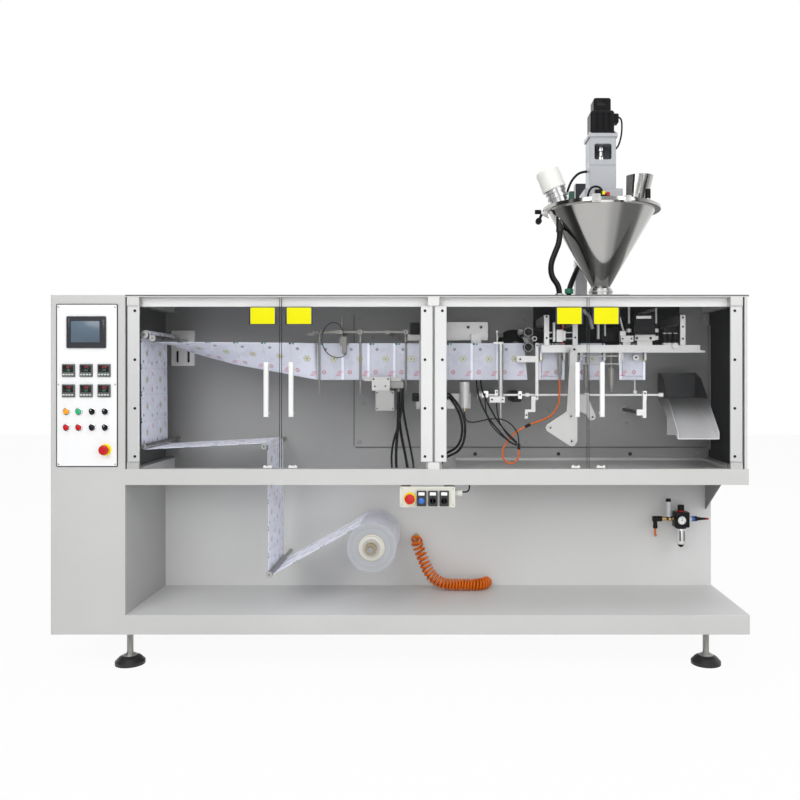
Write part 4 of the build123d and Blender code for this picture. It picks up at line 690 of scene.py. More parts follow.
case_low, case_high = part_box("temperature_controllers")
HALF_CASE = 0.048 / 2
CASE_FRONT = case_low.y
controller_xs = (case_low.x + HALF_CASE, case_low.x + HALF_CASE + 0.067, case_high.x - HALF_CASE)
controller_zs = (case_low.z + HALF_CASE, case_high.z - HALF_CASE)
controller_places = [(x, z) for z in controller_zs for x in controller_xs]
SHOWN_VALUES = (("142", "140"), ("158", "155"), ("120", "120"),
                ("181", "180"), ("145", "145"), ("128", "125"))
KEYS_ACROSS = (-0.0165, -0.0055, 0.0055, 0.0165)
KEYS_Y = (CASE_FRONT - 0.0009, CASE_FRONT + 0.0005)
WINDOW_Y = (CASE_FRONT + 0.0002, CASE_FRONT + 0.0014)
windows, keys, lit = [], [], {"red": [], "green": []}
for (x, z), (measured, wanted) in zip(controller_places, SHOWN_VALUES):
    windows.append(slab(about(x, 0.0195), WINDOW_Y, (z - 0.0055, z + 0.0195), 0.002, 0.0003))
    lit["red"] += digits(measured, x - 0.007, CASE_FRONT + 0.0002, z + 0.013, 0.0085)
    lit["green"] += digits(wanted, x - 0.005, CASE_FRONT + 0.0002, z + 0.001, 0.0065)
    keys += [slab(about(x + across, 0.0042), KEYS_Y, (z - 0.0185, z - 0.0125), 0.0015, 0.0004)
             for across in KEYS_ACROSS]
joined("controller_windows", windows, window_black)
for tone, (colour, light, strength) in DIGIT_LIGHT.items():
    digit_finish, _ = new_finish(f"digit_{tone}")
    shade(digit_finish, {"Base Color": colour, "Emission Color": light, "Emission Strength": strength})
    joined(f"controller_digits_{tone}", lit[tone], digit_finish)
joined("controller_keys", keys, key_grey)

# Buttons: a chromed bezel with a domed coloured cap; selectors have a black knob with a pale index line.
BUTTON_CAPS = {
    # name: colour, places as column and row
    "amber": ((0.95, 0.36, 0.01), ((0, 1),)),
    "green": ((0.03, 0.44, 0.19), ((1, 1),)),
    "red": ((0.52, 0.008, 0.01), ((0, 0), (1, 0))),
    "black": ((0.008, 0.008, 0.009), ((2, 1), (3, 1), (2, 0), (3, 0))),
}
SELECTORS = ((2, 1), (3, 1), (3, 0))
BUTTON_ROWS = (0.923, 0.9835)
GRIP_Y = (PANEL_FACE - 0.017, PANEL_FACE - 0.008)
button_x = [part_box("control_cabinet")[0].x + x for x in (0.064, 0.111, 0.162, 0.2115)]
BEZEL = [(0.0, 0.0), (0.0, 0.014), (-0.0035, 0.014), (-0.0055, 0.013), (-0.006, 0.0115), (-0.005, 0.0108),
         (-0.002, 0.0106), (-0.002, 0.0)]
DOME = [(-0.002, 0.0), (-0.002, 0.0104), (-0.0085, 0.0104), (-0.0105, 0.0096), (-0.0118, 0.0075),
        (-0.0124, 0.004), (-0.0126, 0.0)]
FLAT = [(-0.002, 0.0), (-0.002, 0.0104), (-0.0075, 0.0104), (-0.0085, 0.0096), (-0.0085, 0.0)]
chrome, chrome_place = new_finish("bezel_chrome")
shade(chrome, {"Base Color": (0.7, 0.7, 0.71), "Metallic": 1.0,
               "Roughness": noise(chrome_place, 200.0) * 0.12 + 0.14})
bezels = [turned(BEZEL, (x, PANEL_FACE, z), "y", 28) for z in BUTTON_ROWS for x in button_x]
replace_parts(joined("button_bezels", bezels, chrome), "push_buttons")
for name, (colour, spots) in BUTTON_CAPS.items():
    cap = coated(f"cap_{name}", colour, 0.24, cloud=0.03, peel=0.03, gloss=0.35)
    rings = []
    for column, row in spots:
        x, z = button_x[column], BUTTON_ROWS[row]
        if (column, row) in SELECTORS:
            rings += [turned(FLAT, (x, PANEL_FACE, z), "y", 24),
                      slab(about(x, 0.0036), GRIP_Y, about(z, 0.01), 0.003, 0.0012)]
        else:
            rings.append(turned(DOME, (x, PANEL_FACE, z), "y", 24))
    joined(f"caps_{name}", rings, cap)
index_lines = [slab(about(button_x[column], 0.0007), (PANEL_FACE - 0.0174, PANEL_FACE - 0.0168),
                    (BUTTON_ROWS[row] + 0.002, BUTTON_ROWS[row] + 0.009), 0.0004, 0.0002)
               for column, row in SELECTORS]
joined("selector_lines", index_lines, panel_white)

STOP_CENTRE = (button_x[3], PANEL_FACE, 0.838)
STOP_RING = [(0, 0), (0, 0.0225), (-0.0035, 0.0225), (-0.005, 0.0212), (-0.005, 0.0)]
STOP_HEAD = [(-0.005, 0), (-0.005, 0.0118), (-0.0125, 0.0118), (-0.014, 0.015), (-0.0165, 0.0182),
             (-0.0205, 0.019), (-0.024, 0.018), (-0.0262, 0.015), (-0.0268, 0.009), (-0.0268, 0.0)]
stop_yellow = coated("stop_yellow", (0.93, 0.8, 0.01), 0.34, cloud=0.02, gloss=0.3)
stop_red = coated("stop_red", (0.54, 0.01, 0.012), 0.3, cloud=0.03, gloss=0.35)
spun("stop_ring", STOP_RING, STOP_CENTRE, stop_yellow, around=40)
spun("stop_head", STOP_HEAD, STOP_CENTRE, stop_red, around=40)


# Hoses and cables. Each is one length of plastic tube or rubber covered cable, pushed into a fitting at both
# ends; it leaves straight and then hangs in a soft curve. The thin ones only show on close view.
orange_pu, orange_place = new_finish("orange_tube")
shade(orange_pu, {
    "Base Color": tinted((0.68, 0.135, 0.003), noise(orange_place, 25.0) * 0.16 + 0.92),
    "Roughness": noise(orange_place, 40.0) * 0.12 + 0.22,
    "Specular IOR Level": 0.3,
})
cable_black = coated("cable_black", (0.008, 0.008, 0.009), 0.3, cloud=0.15, peel=0.15, gloss=0.22)


def behind(points):
    """Points given as (x, depth behind the front, z), put into the frame."""
    return np.array(points, float) + (0.0, FRONT, 0.0)


def smooth_line(name, points, diameter):
    """Curve of one open NURBS spline with the points as its control points."""
    curve = bpy.data.curves.new(name, "CURVE")
    curve.dimensions = "3D"
    curve.bevel_depth = diameter / 2
    curve.bevel_resolution = 3
    curve.resolution_u = 8
    curve.use_fill_caps = True
    spline = curve.splines.new("NURBS")
    spline.points.add(len(points) - 1)
    spline.points.foreach_set("co", np.column_stack([points, np.ones(len(points))]).ravel())
    spline.order_u = 3
    spline.use_endpoint_u = True
    piece = bpy.data.objects.new(name, curve)
    bpy.context.scene.collection.objects.link(piece)
    return piece


def tube(name, tone, diameter, stands_for, points):
    """A hose or cable with both ends in the machine; it hides the CAD node it stands for."""
    piece = smooth_line(name, points, diameter)
    piece.data.materials.append({"orange": orange_pu, "black": cable_black}[tone])
    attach(piece, "root")
    if stands_for:
        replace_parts(piece, stands_for)


CORDS = (
    # name, tone, diameter, length, CAD node it stands for, lay, points as x, depth behind the front, z
    ("gripper_hose_orange", "orange", 0.007, 0.544, "gripper_hose", "hanging", [
        (0.6265, 0.15, 1.106), (0.6265, 0.15, 1.066), (0.624, 0.147, 1.02), (0.611, 0.142, 0.98),
        (0.582, 0.138, 0.953), (0.54, 0.134, 0.938), (0.497, 0.13, 0.923), (0.452, 0.126, 0.898),
        (0.415, 0.122, 0.862), (0.394, 0.118, 0.822), (0.4, 0.114, 0.786), (0.428, 0.11, 0.77),
        (0.454, 0.108, 0.784), (0.46, 0.108, 0.808), (0.46, 0.108, 0.83)]),
    ("air_line_black", "black", 0.005, 0.311, "air_line", "hanging", [
        (0.46, 0.108, 0.854), (0.46, 0.108, 0.874), (0.452, 0.109, 0.902), (0.43, 0.113, 0.93),
        (0.396, 0.121, 0.948), (0.356, 0.132, 0.95), (0.316, 0.146, 0.94), (0.282, 0.16, 0.932),
        (0.256, 0.168, 0.937), (0.248, 0.17, 0.956), (0.248, 0.17, 0.976)]),
    ("filler_hose_front_black", "black", 0.023, 0.259, "filler_hose_front", "hanging", [
        (0.624, 0.13, 1.688), (0.624, 0.13, 1.652), (0.605, 0.131, 1.606), (0.588, 0.133, 1.56),
        (0.592, 0.137, 1.512), (0.624, 0.142, 1.474), (0.624, 0.142, 1.444)]),
    ("filler_hose_rear_black", "black", 0.023, 0.256, "filler_hose_rear", "hanging", [
        (0.752, 0.428, 1.608), (0.752, 0.392, 1.608), (0.74, 0.352, 1.592), (0.719, 0.318, 1.556),
        (0.698, 0.302, 1.511), (0.684, 0.296, 1.472), (0.684, 0.296, 1.442)]),
    ("punch_cable_left_black", "black", 0.012, 0.51, "punch_cable_left", "hanging", [
        (-0.017, 0.175, 1.055), (-0.017, 0.175, 0.95), (-0.023, 0.188, 0.88), (-0.03, 0.225, 0.81),
        (-0.033, 0.28, 0.75), (-0.032, 0.34, 0.708), (-0.03, 0.392, 0.69), (-0.03, 0.438, 0.69)]),
    ("punch_cable_right_black", "black", 0.012, 0.489, "punch_cable_right", "hanging", [
        (-0.017, 0.205, 1.055), (-0.017, 0.205, 0.945), (-0.007, 0.218, 0.87), (0.005, 0.252, 0.8),
        (0.012, 0.302, 0.745), (0.014, 0.352, 0.708), (0.014, 0.398, 0.692), (0.014, 0.438, 0.692)]),
    ("cylinder_cable", "black", 0.01, 0.415, None, "loose", [
        (0.178, 0.197, 1.04), (0.178, 0.178, 1.044), (0.182, 0.15, 1.05), (0.198, 0.13, 1.036),
        (0.226, 0.12, 0.998), (0.247, 0.118, 0.95), (0.251, 0.122, 0.9), (0.243, 0.13, 0.85),
        (0.22, 0.142, 0.815), (0.185, 0.15, 0.8), (0.158, 0.156, 0.786), (0.152, 0.16, 0.757)]),
    ("cylinder_cable_inner", "black", 0.01, 0.396, None, "loose", [
        (0.18, 0.199, 1.027), (0.18, 0.181, 1.031), (0.184, 0.154, 1.036), (0.197, 0.136, 1.022),
        (0.217, 0.128, 0.99), (0.235, 0.128, 0.946), (0.239, 0.132, 0.9), (0.231, 0.14, 0.857),
        (0.211, 0.15, 0.828), (0.18, 0.158, 0.812), (0.152, 0.165, 0.796), (0.144, 0.168, 0.757)]),
    ("sealing_cable_left", "black", 0.007, 0.35, None, "loose", [
        (0.297, 0.21, 1.115), (0.297, 0.2, 1.095), (0.298, 0.172, 1.07), (0.308, 0.15, 1.022),
        (0.326, 0.14, 0.98), (0.35, 0.136, 0.94), (0.38, 0.13, 0.904), (0.408, 0.122, 0.874),
        (0.432, 0.112, 0.852), (0.452, 0.106, 0.846)]),
    ("sealing_cable_right", "black", 0.007, 0.326, None, "loose", [
        (0.314, 0.21, 1.115), (0.314, 0.2, 1.095), (0.316, 0.168, 1.066), (0.334, 0.144, 1.022),
        (0.354, 0.136, 0.98), (0.378, 0.131, 0.94), (0.402, 0.124, 0.908), (0.424, 0.117, 0.884),
        (0.442, 0.112, 0.866), (0.453, 0.11, 0.856)]),
    ("stirrer_lead", "black", 0.01, 0.141, None, "hanging", [
        (0.66, 0.19, 1.85), (0.668, 0.196, 1.878), (0.684, 0.204, 1.912), (0.708, 0.208, 1.938),
        (0.732, 0.208, 1.946), (0.745, 0.206, 1.946)]),
    ("shaft_line_right", "black", 0.005, 0.215, None, "loose", [
        (0.376, 0.17, 1.036), (0.376, 0.169, 1.012), (0.378, 0.16, 0.97), (0.39, 0.142, 0.925),
        (0.412, 0.124, 0.89), (0.438, 0.112, 0.864), (0.452, 0.109, 0.851)]),
    ("shaft_line_left", "black", 0.005, 0.24, None, "loose", [
        (0.33, 0.166, 1.031), (0.33, 0.164, 1.008), (0.334, 0.15, 0.968), (0.35, 0.132, 0.926),
        (0.38, 0.115, 0.892), (0.42, 0.102, 0.862), (0.45, 0.102, 0.846)]),
    ("punch_cable_outer", "black", 0.009, 0.544, None, "hanging", [
        (-0.002, 0.16, 1.07), (-0.002, 0.16, 1.0), (-0.012, 0.16, 0.93), (-0.034, 0.176, 0.87),
        (-0.048, 0.222, 0.81), (-0.052, 0.285, 0.75), (-0.054, 0.345, 0.712), (-0.054, 0.4, 0.694),
        (-0.054, 0.447, 0.69)]),
    ("punch_cable_inner", "black", 0.009, 0.503, None, "hanging", [
        (-0.002, 0.215, 1.07), (-0.002, 0.215, 1.0), (0.006, 0.214, 0.94), (0.018, 0.222, 0.88),
        (0.03, 0.25, 0.812), (0.037, 0.3, 0.755), (0.038, 0.352, 0.716), (0.038, 0.402, 0.7),
        (0.038, 0.447, 0.7)]),
    ("photo_eye_lead", "black", 0.0035, 0.322, None, "loose", [
        (-0.228, 0.172, 1.212), (-0.228, 0.16, 1.206), (-0.24, 0.152, 1.192), (-0.272, 0.15, 1.19),
        (-0.306, 0.152, 1.212), (-0.324, 0.154, 1.256), (-0.316, 0.156, 1.304), (-0.286, 0.16, 1.334),
        (-0.256, 0.166, 1.33), (-0.242, 0.172, 1.306), (-0.238, 0.172, 1.29), (-0.238, 0.17, 1.276)]),
    ("servo_lead", "black", 0.007, 0.153, None, "loose", [
        (0.8645, 0.18, 2.158), (0.873, 0.178, 2.156), (0.879, 0.175, 2.142), (0.8795, 0.173, 2.112),
        (0.877, 0.173, 2.082), (0.871, 0.177, 2.056), (0.863, 0.182, 2.036), (0.85, 0.186, 2.026)]),
    ("pendant_lead", "black", 0.006, 0.048, None, "hanging", [
        (0.236, 0.032, 0.6725), (0.25, 0.032, 0.6725), (0.26, 0.032, 0.676), (0.264, 0.032, 0.688),
        (0.264, 0.032, 0.704)]),
    ("regulator_hose", "orange", 0.008, 0.098, None, "hanging", [
        (1.065, 0.378, 0.47), (1.065, 0.378, 0.452), (1.067, 0.388, 0.437), (1.074, 0.406, 0.431),
        (1.082, 0.428, 0.433), (1.082, 0.449, 0.433)]),
)
cord_exits = {}
for name, tone, diameter, length, stands_for, lay, points in CORDS:
    route = behind(points)
    cord_exits[name] = route[0]
    tube(name, tone, diameter, stands_for, route)

# Spiral air hose: about thirty turns of thin orange tube, stretched open where it hangs from its fitting and
# close together where it lies on the shelf.
SPIRAL_ROUTE = behind([
    (0.045, 0.426, 0.419), (0.045, 0.398, 0.419), (0.051, 0.378, 0.4), (0.064, 0.368, 0.371),
    (0.078, 0.364, 0.336), (0.094, 0.362, 0.299), (0.117, 0.361, 0.263), (0.154, 0.361, 0.239),
    (0.196, 0.362, 0.2335), (0.234, 0.363, 0.2336), (0.272, 0.362, 0.2335), (0.304, 0.363, 0.2336),
    (0.3317, 0.378, 0.2336), (0.3477, 0.404, 0.2336), (0.3477, 0.428, 0.2336)])
SPIRAL_TURNS = 33
SPIRAL_TUBE = 0.0092
COIL_RADIUS = 0.0205
POINTS_PER_TURN = 12
# The smooth line stays inside its control points: at twelve a turn by these shares of radius and length
PULLED_IN = 0.966


def line_points(points):
    """Points along the smooth line of a route, read from its own NURBS curve."""
    guide = smooth_line("guide", points, 0.0)
    guide.data.resolution_u = 24
    mesh = bpy.data.meshes.new_from_object(guide)
    found = np.empty(len(mesh.vertices) * 3)
    mesh.vertices.foreach_get("co", found)
    bpy.data.objects.remove(guide)
    return found.reshape(-1, 3)


def unit_rows(vectors):
    """Vectors, one in each row, scaled to length 1."""
    return vectors / np.linalg.norm(vectors, axis=1, keepdims=True)


def helix(route, turns, radius, opening, lead):
    """Points that circle the route: the angle grows as opening * t + (1 - opening) * t squared, so the turns
    start open and close up, and the radius swells from nothing over a lead at each end."""
    line = line_points(route)
    steps = np.linalg.norm(np.diff(line, axis=0), axis=1)
    distance = np.concatenate([[0.0], np.cumsum(steps)])
    t = np.linspace(0.0, 1.0, turns * POINTS_PER_TURN)
    centre = np.stack([np.interp(t * distance[-1], distance, line[:, k]) for k in range(3)], -1)
    tangent = unit_rows(np.gradient(centre, axis=0))
    side = unit_rows(np.cross(tangent, (0.15, -0.3, 0.94)))
    up = np.cross(side, tangent)
    angle = 2 * math.pi * turns * (opening * t + (1 - opening) * t**2)
    ease = np.clip(t / lead, 0, 1) * np.clip((1 - t) / (0.6 * lead), 0, 1)
    swell = radius * (ease * ease * (3 - 2 * ease))[:, None]
    return centre + swell * (side * np.cos(angle)[:, None] + up * np.sin(angle)[:, None])


spiral_points = helix(SPIRAL_ROUTE, SPIRAL_TURNS, COIL_RADIUS / PULLED_IN, 0.55, 0.07)
tube("spiral_hose_orange", "orange", SPIRAL_TUBE, "spiral_hose", spiral_points)

fittings_metal, fittings_place = new_finish("fitting_nickel_and_nylon")
fitting_x, _, fitting_z = fittings_place.axes()
is_gland = fitting_z.ramp(1.3, 1.31)
is_green = is_gland * (fitting_x > 0.66) * fitting_z.ramp(1.4225, 1.4235)
is_connector = (fitting_z < 0.9) * (fitting_x > 0.4) * (fitting_z > 0.78)
fitting_colour = blended(is_gland, (0.62, 0.52, 0.32), (0.55, 0.55, 0.54))
fitting_colour = blended(is_green, fitting_colour, (0.02, 0.24, 0.13))
shade(fittings_metal, {
    "Specular IOR Level": 0.25,
    "Base Color": blended(is_connector, fitting_colour, (0.014, 0.014, 0.015)),
    "Metallic": 1 - is_green - is_connector,
    "Roughness": noise(fittings_place, 120.0) * 0.2 + 0.24,
}, "hose_fittings")


# Film. A laminated web, white with a faint blue sheen, printed with small rings, flowers and dots and with
# register marks at its edge. It is unwound from the reel, folded lengthways and cut into sachets.
web_low, web_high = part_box("film_web_flat")
FILM_FRONT = web_low.y
FILM_MIDDLE = (web_low.y + web_high.y) / 2
FILM_WIDTH = web_high.y - FILM_FRONT
FOLD_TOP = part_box("film_fold")[1].z - 0.0012
PRINT_START = 0.03
REPEAT = 0.104
HALF_WEB = 0.147


def radius_of(a, b):
    """Distance from the middle of a plane whose two axes are signals."""
    return (a * a + b * b).maths("SQRT")


def printed_film(name, measure, ground=(0.76, 0.78, 0.9), crease_shade=0.16, painted_glow=0.0):
    """Film with its print: measure gives (along, across) in metres from the object coordinates and UV."""
    material, place = new_finish(name)
    along, across = measure(place, Signal.node(place.tree, "TexCoord", output="UV"))
    # Painted shade: the crease noise darkens the film's colour in its creases; it also sets their bump and
    # gloss.
    crease_and_shade = noise(place, 9.0, 4.0)
    colour = tinted(ground, crease_and_shade * crease_shade + (1 - crease_shade / 2))

    def from_spot(at_along, at_across):
        """Distances along and across the web from the nearest repeat of a spot given in metres."""
        a = ((along / REPEAT + (0.5 - at_along / REPEAT)).maths("FRACT") - 0.5) * REPEAT
        b = ((across / HALF_WEB + (0.5 - at_across / HALF_WEB)).maths("FRACT") - 0.5) * HALF_WEB
        return a, b, radius_of(a, b)

    a, b, radius = from_spot(0.064, 0.062)
    petals = (b.maths("ARCTAN2", a) * 6).maths("COSINE")
    colour = blended((radius - petals * 0.0022).ramp(0.0136, 0.0124) * 0.62, colour, (0.4, 0.37, 0.17))
    colour = blended(radius.ramp(0.0086, 0.0078) * 0.55, colour, (0.7, 0.69, 0.45))
    colour = blended(radius.ramp(0.0046, 0.004) * 0.75, colour, (0.13, 0.18, 0.22))
    _, _, radius = from_spot(0.024, 0.116)
    ring = radius.ramp(0.005, 0.0056) * radius.ramp(0.0088, 0.0082)
    colour = blended(ring * 0.8, colour, (0.5, 0.04, 0.07))
    colour = blended(radius.ramp(0.0034, 0.0028) * 0.7, colour, (0.1, 0.25, 0.16))
    a, b, _ = from_spot(0.086, 0.122)
    stripes = ((b / 0.0058).maths("FRACT") < 0.5) * abs(b).ramp(0.0118, 0.0112)
    colour = blended(stripes * abs(a + b * 0.6).ramp(0.0092, 0.0086) * 0.7, colour, (0.56, 0.06, 0.11))
    _, _, radius = from_spot(0.03, 0.024)
    colour = blended(radius.ramp(0.0068, 0.0062) * 0.72, colour, (0.1, 0.13, 0.24))
    colour = blended(radius.ramp(0.003, 0.0024) * 0.8, colour, (0.45, 0.2, 0.12))
    a, b, _ = from_spot(0.03, 0.076)
    lines = ((b / 0.0046).maths("FRACT") < 0.3) * abs(b).ramp(0.0118, 0.0112)
    colour = blended(lines * abs(a).ramp(0.0105, 0.01) * 0.35, colour, (0.3, 0.33, 0.42))
    mark_place = (along / REPEAT).maths("FRACT")
    edge = across.ramp(0.0065, 0.006)
    dashes = (across / 0.006).maths("FRACT") < 0.6
    gold_line = abs(mark_place - 0.05).ramp(0.012, 0.009) * dashes
    green_mark = edge * mark_place.ramp(0.105, 0.11) * mark_place.ramp(0.185, 0.18)
    colour = blended(gold_line * 0.6, colour, (0.45, 0.4, 0.2))
    colour = blended(edge * mark_place.ramp(0.075, 0.07), colour, (0.015, 0.015, 0.02))
    colour = blended(green_mark, colour, (0.03, 0.3, 0.16))
    # Painted light: the emission makes film glow where it lies in shade, as on the flat web.
    return shade(material, {
        "Base Color": colour,
        "Emission Color": colour,
        "Emission Strength": painted_glow,
        "Roughness": crease_and_shade * 0.16 + 0.2,
        "Normal": bump(crease_and_shade, 0.006, 0.4),
    })


def measured_across(place, uv):
    x, y, _ = place.axes()
    return x, y - FILM_FRONT


def measured_rising(place, uv):
    _, y, z = place.axes()
    return z, y - FILM_FRONT


def measured_band(place, uv):
    x, _, z = place.axes()
    return x + PRINT_START, FOLD_TOP - z


def measured_fold(place, uv):
    return uv.axes()[:2]


# Painted light and shade: one film has a lighter ground on the flat web and a darker one on the folded band.
dress(printed_film("film_across", measured_across, (0.86, 0.88, 1.0), 0.08, 0.125), "film_web_flat")
dress(printed_film("film_rising", measured_rising, (0.84, 0.86, 0.97), 0.1), "film_web_upright")
dress(printed_film("film_folded", measured_band, (0.51, 0.525, 0.605), 0.24), "sachet_band")


def sheet_mesh(name, grid, uv):
    """Mesh of a grid of points (rows, columns, 3), with a UV pair in metres at each point."""
    rows, columns = grid.shape[:2]
    index = np.arange(rows * columns).reshape(rows, columns)
    quads = np.stack([index[:-1, :-1], index[:-1, 1:], index[1:, 1:], index[1:, :-1]], -1).reshape(-1, 4)
    mesh = bpy.data.meshes.new(name)
    mesh.from_pydata(grid.reshape(-1, 3).tolist(), [], quads.tolist())
    layer = mesh.uv_layers.new(name="UVMap")
    layer.data.foreach_set("uv", uv.reshape(-1, 2)[quads.ravel()].ravel())
    return mesh


# Folding zone: at each place along the web its middle has sunk by a drop that grows from nothing to half the
# width, and each half lies on a straight line from the fold to its edge, bellied by a small wave.
fold_low, fold_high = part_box("film_fold")
t = np.linspace(0.0, 1.0, 81)[:, None]
w = np.linspace(-1.0, 1.0, 57)[None, :]
half_width = FILM_WIDTH / 2
FULL_DROP = 0.9998
FOLD_STOPS = ((0.0, 0.196, 0.477, 0.766, 1.0), (0.0, 0.287, 0.597, 0.8075, FULL_DROP))
SMOOTHED_OVER = 9
drop = np.pad(np.interp(t[:, 0], *FOLD_STOPS), SMOOTHED_OVER // 2, mode="edge")
drop = np.convolve(drop, np.ones(SMOOTHED_OVER) / SMOOTHED_OVER, "valid")[:, None]
drop[0], drop[-1] = 0.0, FULL_DROP
spread = np.sqrt(1 - drop**2)
wave = 0.0012 * np.sin(9 * math.pi * t) * np.sin(math.pi * np.abs(w)) * drop
valley = np.sqrt(w**2 + 0.0009) - 0.03 * (1 - np.abs(w))
fold_x = fold_low.x + t * (fold_high.x - fold_low.x) + 0 * w
fold_y = FILM_MIDDLE + half_width * spread * w + np.sign(w) * (0.0011 * drop + wave)
fold_z = FOLD_TOP + 0 * t - half_width * drop * (1 - valley)
fold_grid = np.stack([fold_x, fold_y, fold_z], -1)
fold_uv = np.stack([fold_x + PRINT_START, half_width * (1 + w) + 0 * t], -1)
# Painted shade: the folding zone's ground is darker than the flat web's.
fold_finish = printed_film("film_folding_print", measured_fold, (0.64, 0.655, 0.75), 0.24)
fold_mesh = sheet_mesh("film_folding", fold_grid, fold_uv)
folding = placed("film_folding", fold_mesh, fold_finish, "root", 60.0)
thickness = folding.modifiers.new("wall", "SOLIDIFY")
thickness.thickness = 0.0006
thickness.offset = 0.0
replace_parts(folding, "film_fold")

# Seams of the sachets: thin raised ribs of pressed film, both sides of each pouch and of each length of band.
band_low, band_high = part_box("sachet_band")
POUCH_LEFTS = (0.5465, 0.708, 0.872)
pouch_seams = [left + inset for left in POUCH_LEFTS for inset in (0.005, 0.1)]
seam_places = [*np.arange(-0.243, 0.45, REPEAT), *pouch_seams]
seams = [slab(about(x, 0.0045), (band_low.y + 0.0031, band_low.y + 0.0036),
              (band_low.z + 0.001, band_high.z - 0.0015), 0.001, 0.0002, "y", 1) for x in seam_places]
joined("sachet_seams", seams, printed_film("film_seam", measured_band))

# Reel: the wound film shows fine grey rings on its side, round a cream cardboard core on a white hub.
reel_low, reel_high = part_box("film_reel")
REEL_X = (reel_low.x + reel_high.x) / 2
REEL_Z = (reel_low.z + reel_high.z) / 2
reel_finish, reel_place = new_finish("film_reel_side")
reel_x, _, reel_z = reel_place.axes()
reel_radius = radius_of(reel_x - REEL_X, reel_z - REEL_Z)
wound, streaks = (Signal.node(reel_place.tree, "TexNoise", {"noise_dimensions": "1D"},
                              {"W": reel_radius, "Scale": scale, "Detail": detail})
                  for scale, detail in ((900.0, 3.0), (110.0, 2.0)))
side_colour = tinted((0.36, 0.37, 0.39), wound * 0.7 + streaks * 0.7 + 0.3)
side_colour = blended(reel_radius.ramp(0.0505, 0.05), side_colour, (0.66, 0.6, 0.46))
outside_motif = noise(reel_place, 55.0, 2.0).ramp(0.6, 0.68)
outside_colour = blended(outside_motif * 0.5, (0.78, 0.79, 0.87), (0.36, 0.4, 0.42))
shade(reel_finish, {
    "Base Color": blended(reel_radius.ramp(0.094, 0.0943), side_colour, outside_colour),
    "Roughness": wound * 0.2 + 0.3,
    "Normal": bump(wound, 0.0004, 0.5),
}, "film_reel")

HUB_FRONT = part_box("reel_hub")[0].y
HUB_BOLTS = 0.0272
hub_finish, hub_place = new_finish("hub_nylon_and_steel")
is_boss = hub_place.axes()[1].ramp(HUB_FRONT + 0.024, HUB_FRONT + 0.02)
shade(hub_finish, {
    "Base Color": blended(is_boss, (0.6, 0.6, 0.58), (0.34, 0.29, 0.2)),
    "Metallic": is_boss * 0.9,
    "Roughness": noise(hub_place, 80.0) * 0.15 + 0.28,
}, "reel_hub")
hub_screws = [(REEL_X + HUB_BOLTS * math.cos(a), HUB_FRONT + 0.022, REEL_Z + HUB_BOLTS * math.sin(a))
              for a in (k * math.pi / 2 + 0.6 for k in range(4))]
joined("hub_screws", screw_heads(hub_screws, 0.004, 0.002), screw_steel, "reel")

dress(brushed("roller_steel", (0.34, 0.34, 0.35), 0.28, "y"), "guide_rollers")
ROLLER_ENDS = (
    # x, z, radius, depth behind the front
    (-0.526, 0.847, 0.012, 0.033), (-0.987, 0.847, 0.011, 0.033), (-0.985, 1.277, 0.016, 0.033),
    (-0.955, 1.263, 0.0127, 0.038), (-0.501, 0.36, 0.013, 0.012),
)
end_caps = [turned([(0.0006, 0), (0.0006, r * 0.96), (-0.002, r * 0.88), (-0.002, r * 0.42),
                    (0.001, r * 0.36), (0.001, 0)], (x, FRONT + depth, z), "y", 20)
            for x, z, r, depth in ROLLER_ENDS]
joined("roller_end_caps", end_caps, screw_steel)


# Mechanisms of the upper bay. Arms and plates are milled, rods, shafts and cylinders are drawn or ground, the
# valves are black nylon on steel, and the feed rollers are rubber on chromed shafts.
def lined(place, colour, roughness, stretch=(1.0, 1.0, 0.02), scale=700.0, detail=2.0):
    """Sockets of ground metal, whose colour and gloss follow fine lines drawn out along an axis."""
    lines = noise(place, scale, detail, stretch)
    return lines, {"Base Color": tinted(colour, lines * 0.1 + 0.95), "Roughness": lines * 0.14 + roughness}


cylinder_finish, cylinder_place = new_finish("cylinder_barrels")
under_rail = cylinder_place.axes()[0] > 0.45
cylinder_colour = blended(under_rail, (0.56, 0.56, 0.55), (0.25, 0.245, 0.23))
cylinder_lines, sockets = lined(cylinder_place, cylinder_colour, 0.28)
sockets["Normal"] = bump(cylinder_lines, 0.0001, 0.3)
shade(cylinder_finish, {**sockets, "Metallic": 0.25}, "air_cylinders")
dress(brushed("link_plate_steel", (0.5, 0.5, 0.49), 0.38, "z", metallic=0.3), "swing_plates")

shaft_finish, shaft_place = new_finish("shaft_steel_and_boot")
is_boot = within(shaft_place, x=(0.85, 0.957), y=(FRONT + 0.184, 1.0), z=(0.93, 1.0))
shaft_colour = blended(is_boot, (0.78, 0.78, 0.77), (0.01, 0.01, 0.011))
_, sockets = lined(shaft_place, shaft_colour, 0.26, (0.02, 1.0, 1.0))
shade(shaft_finish, {**sockets, "Metallic": (1 - is_boot) * 0.35}, "cam_shaft")

rods_finish, rods_place = new_finish("guide_rods_and_eye")
is_eye = within(rods_place, x=(-0.2515, -0.2235), y=(-1.0, FRONT + 0.1905), z=(1.2035, 1.2745))
_, sockets = lined(rods_place, blended(is_eye, (0.27, 0.265, 0.25), (0.2, 0.195, 0.18)), 0.28)
shade(rods_finish, {**sockets, "Metallic": (1 - is_eye) * 0.45}, "film_guide_rods")

chute_finish, chute_place = new_finish("chute_sheet")
chute_height = chute_place.axes()[2]
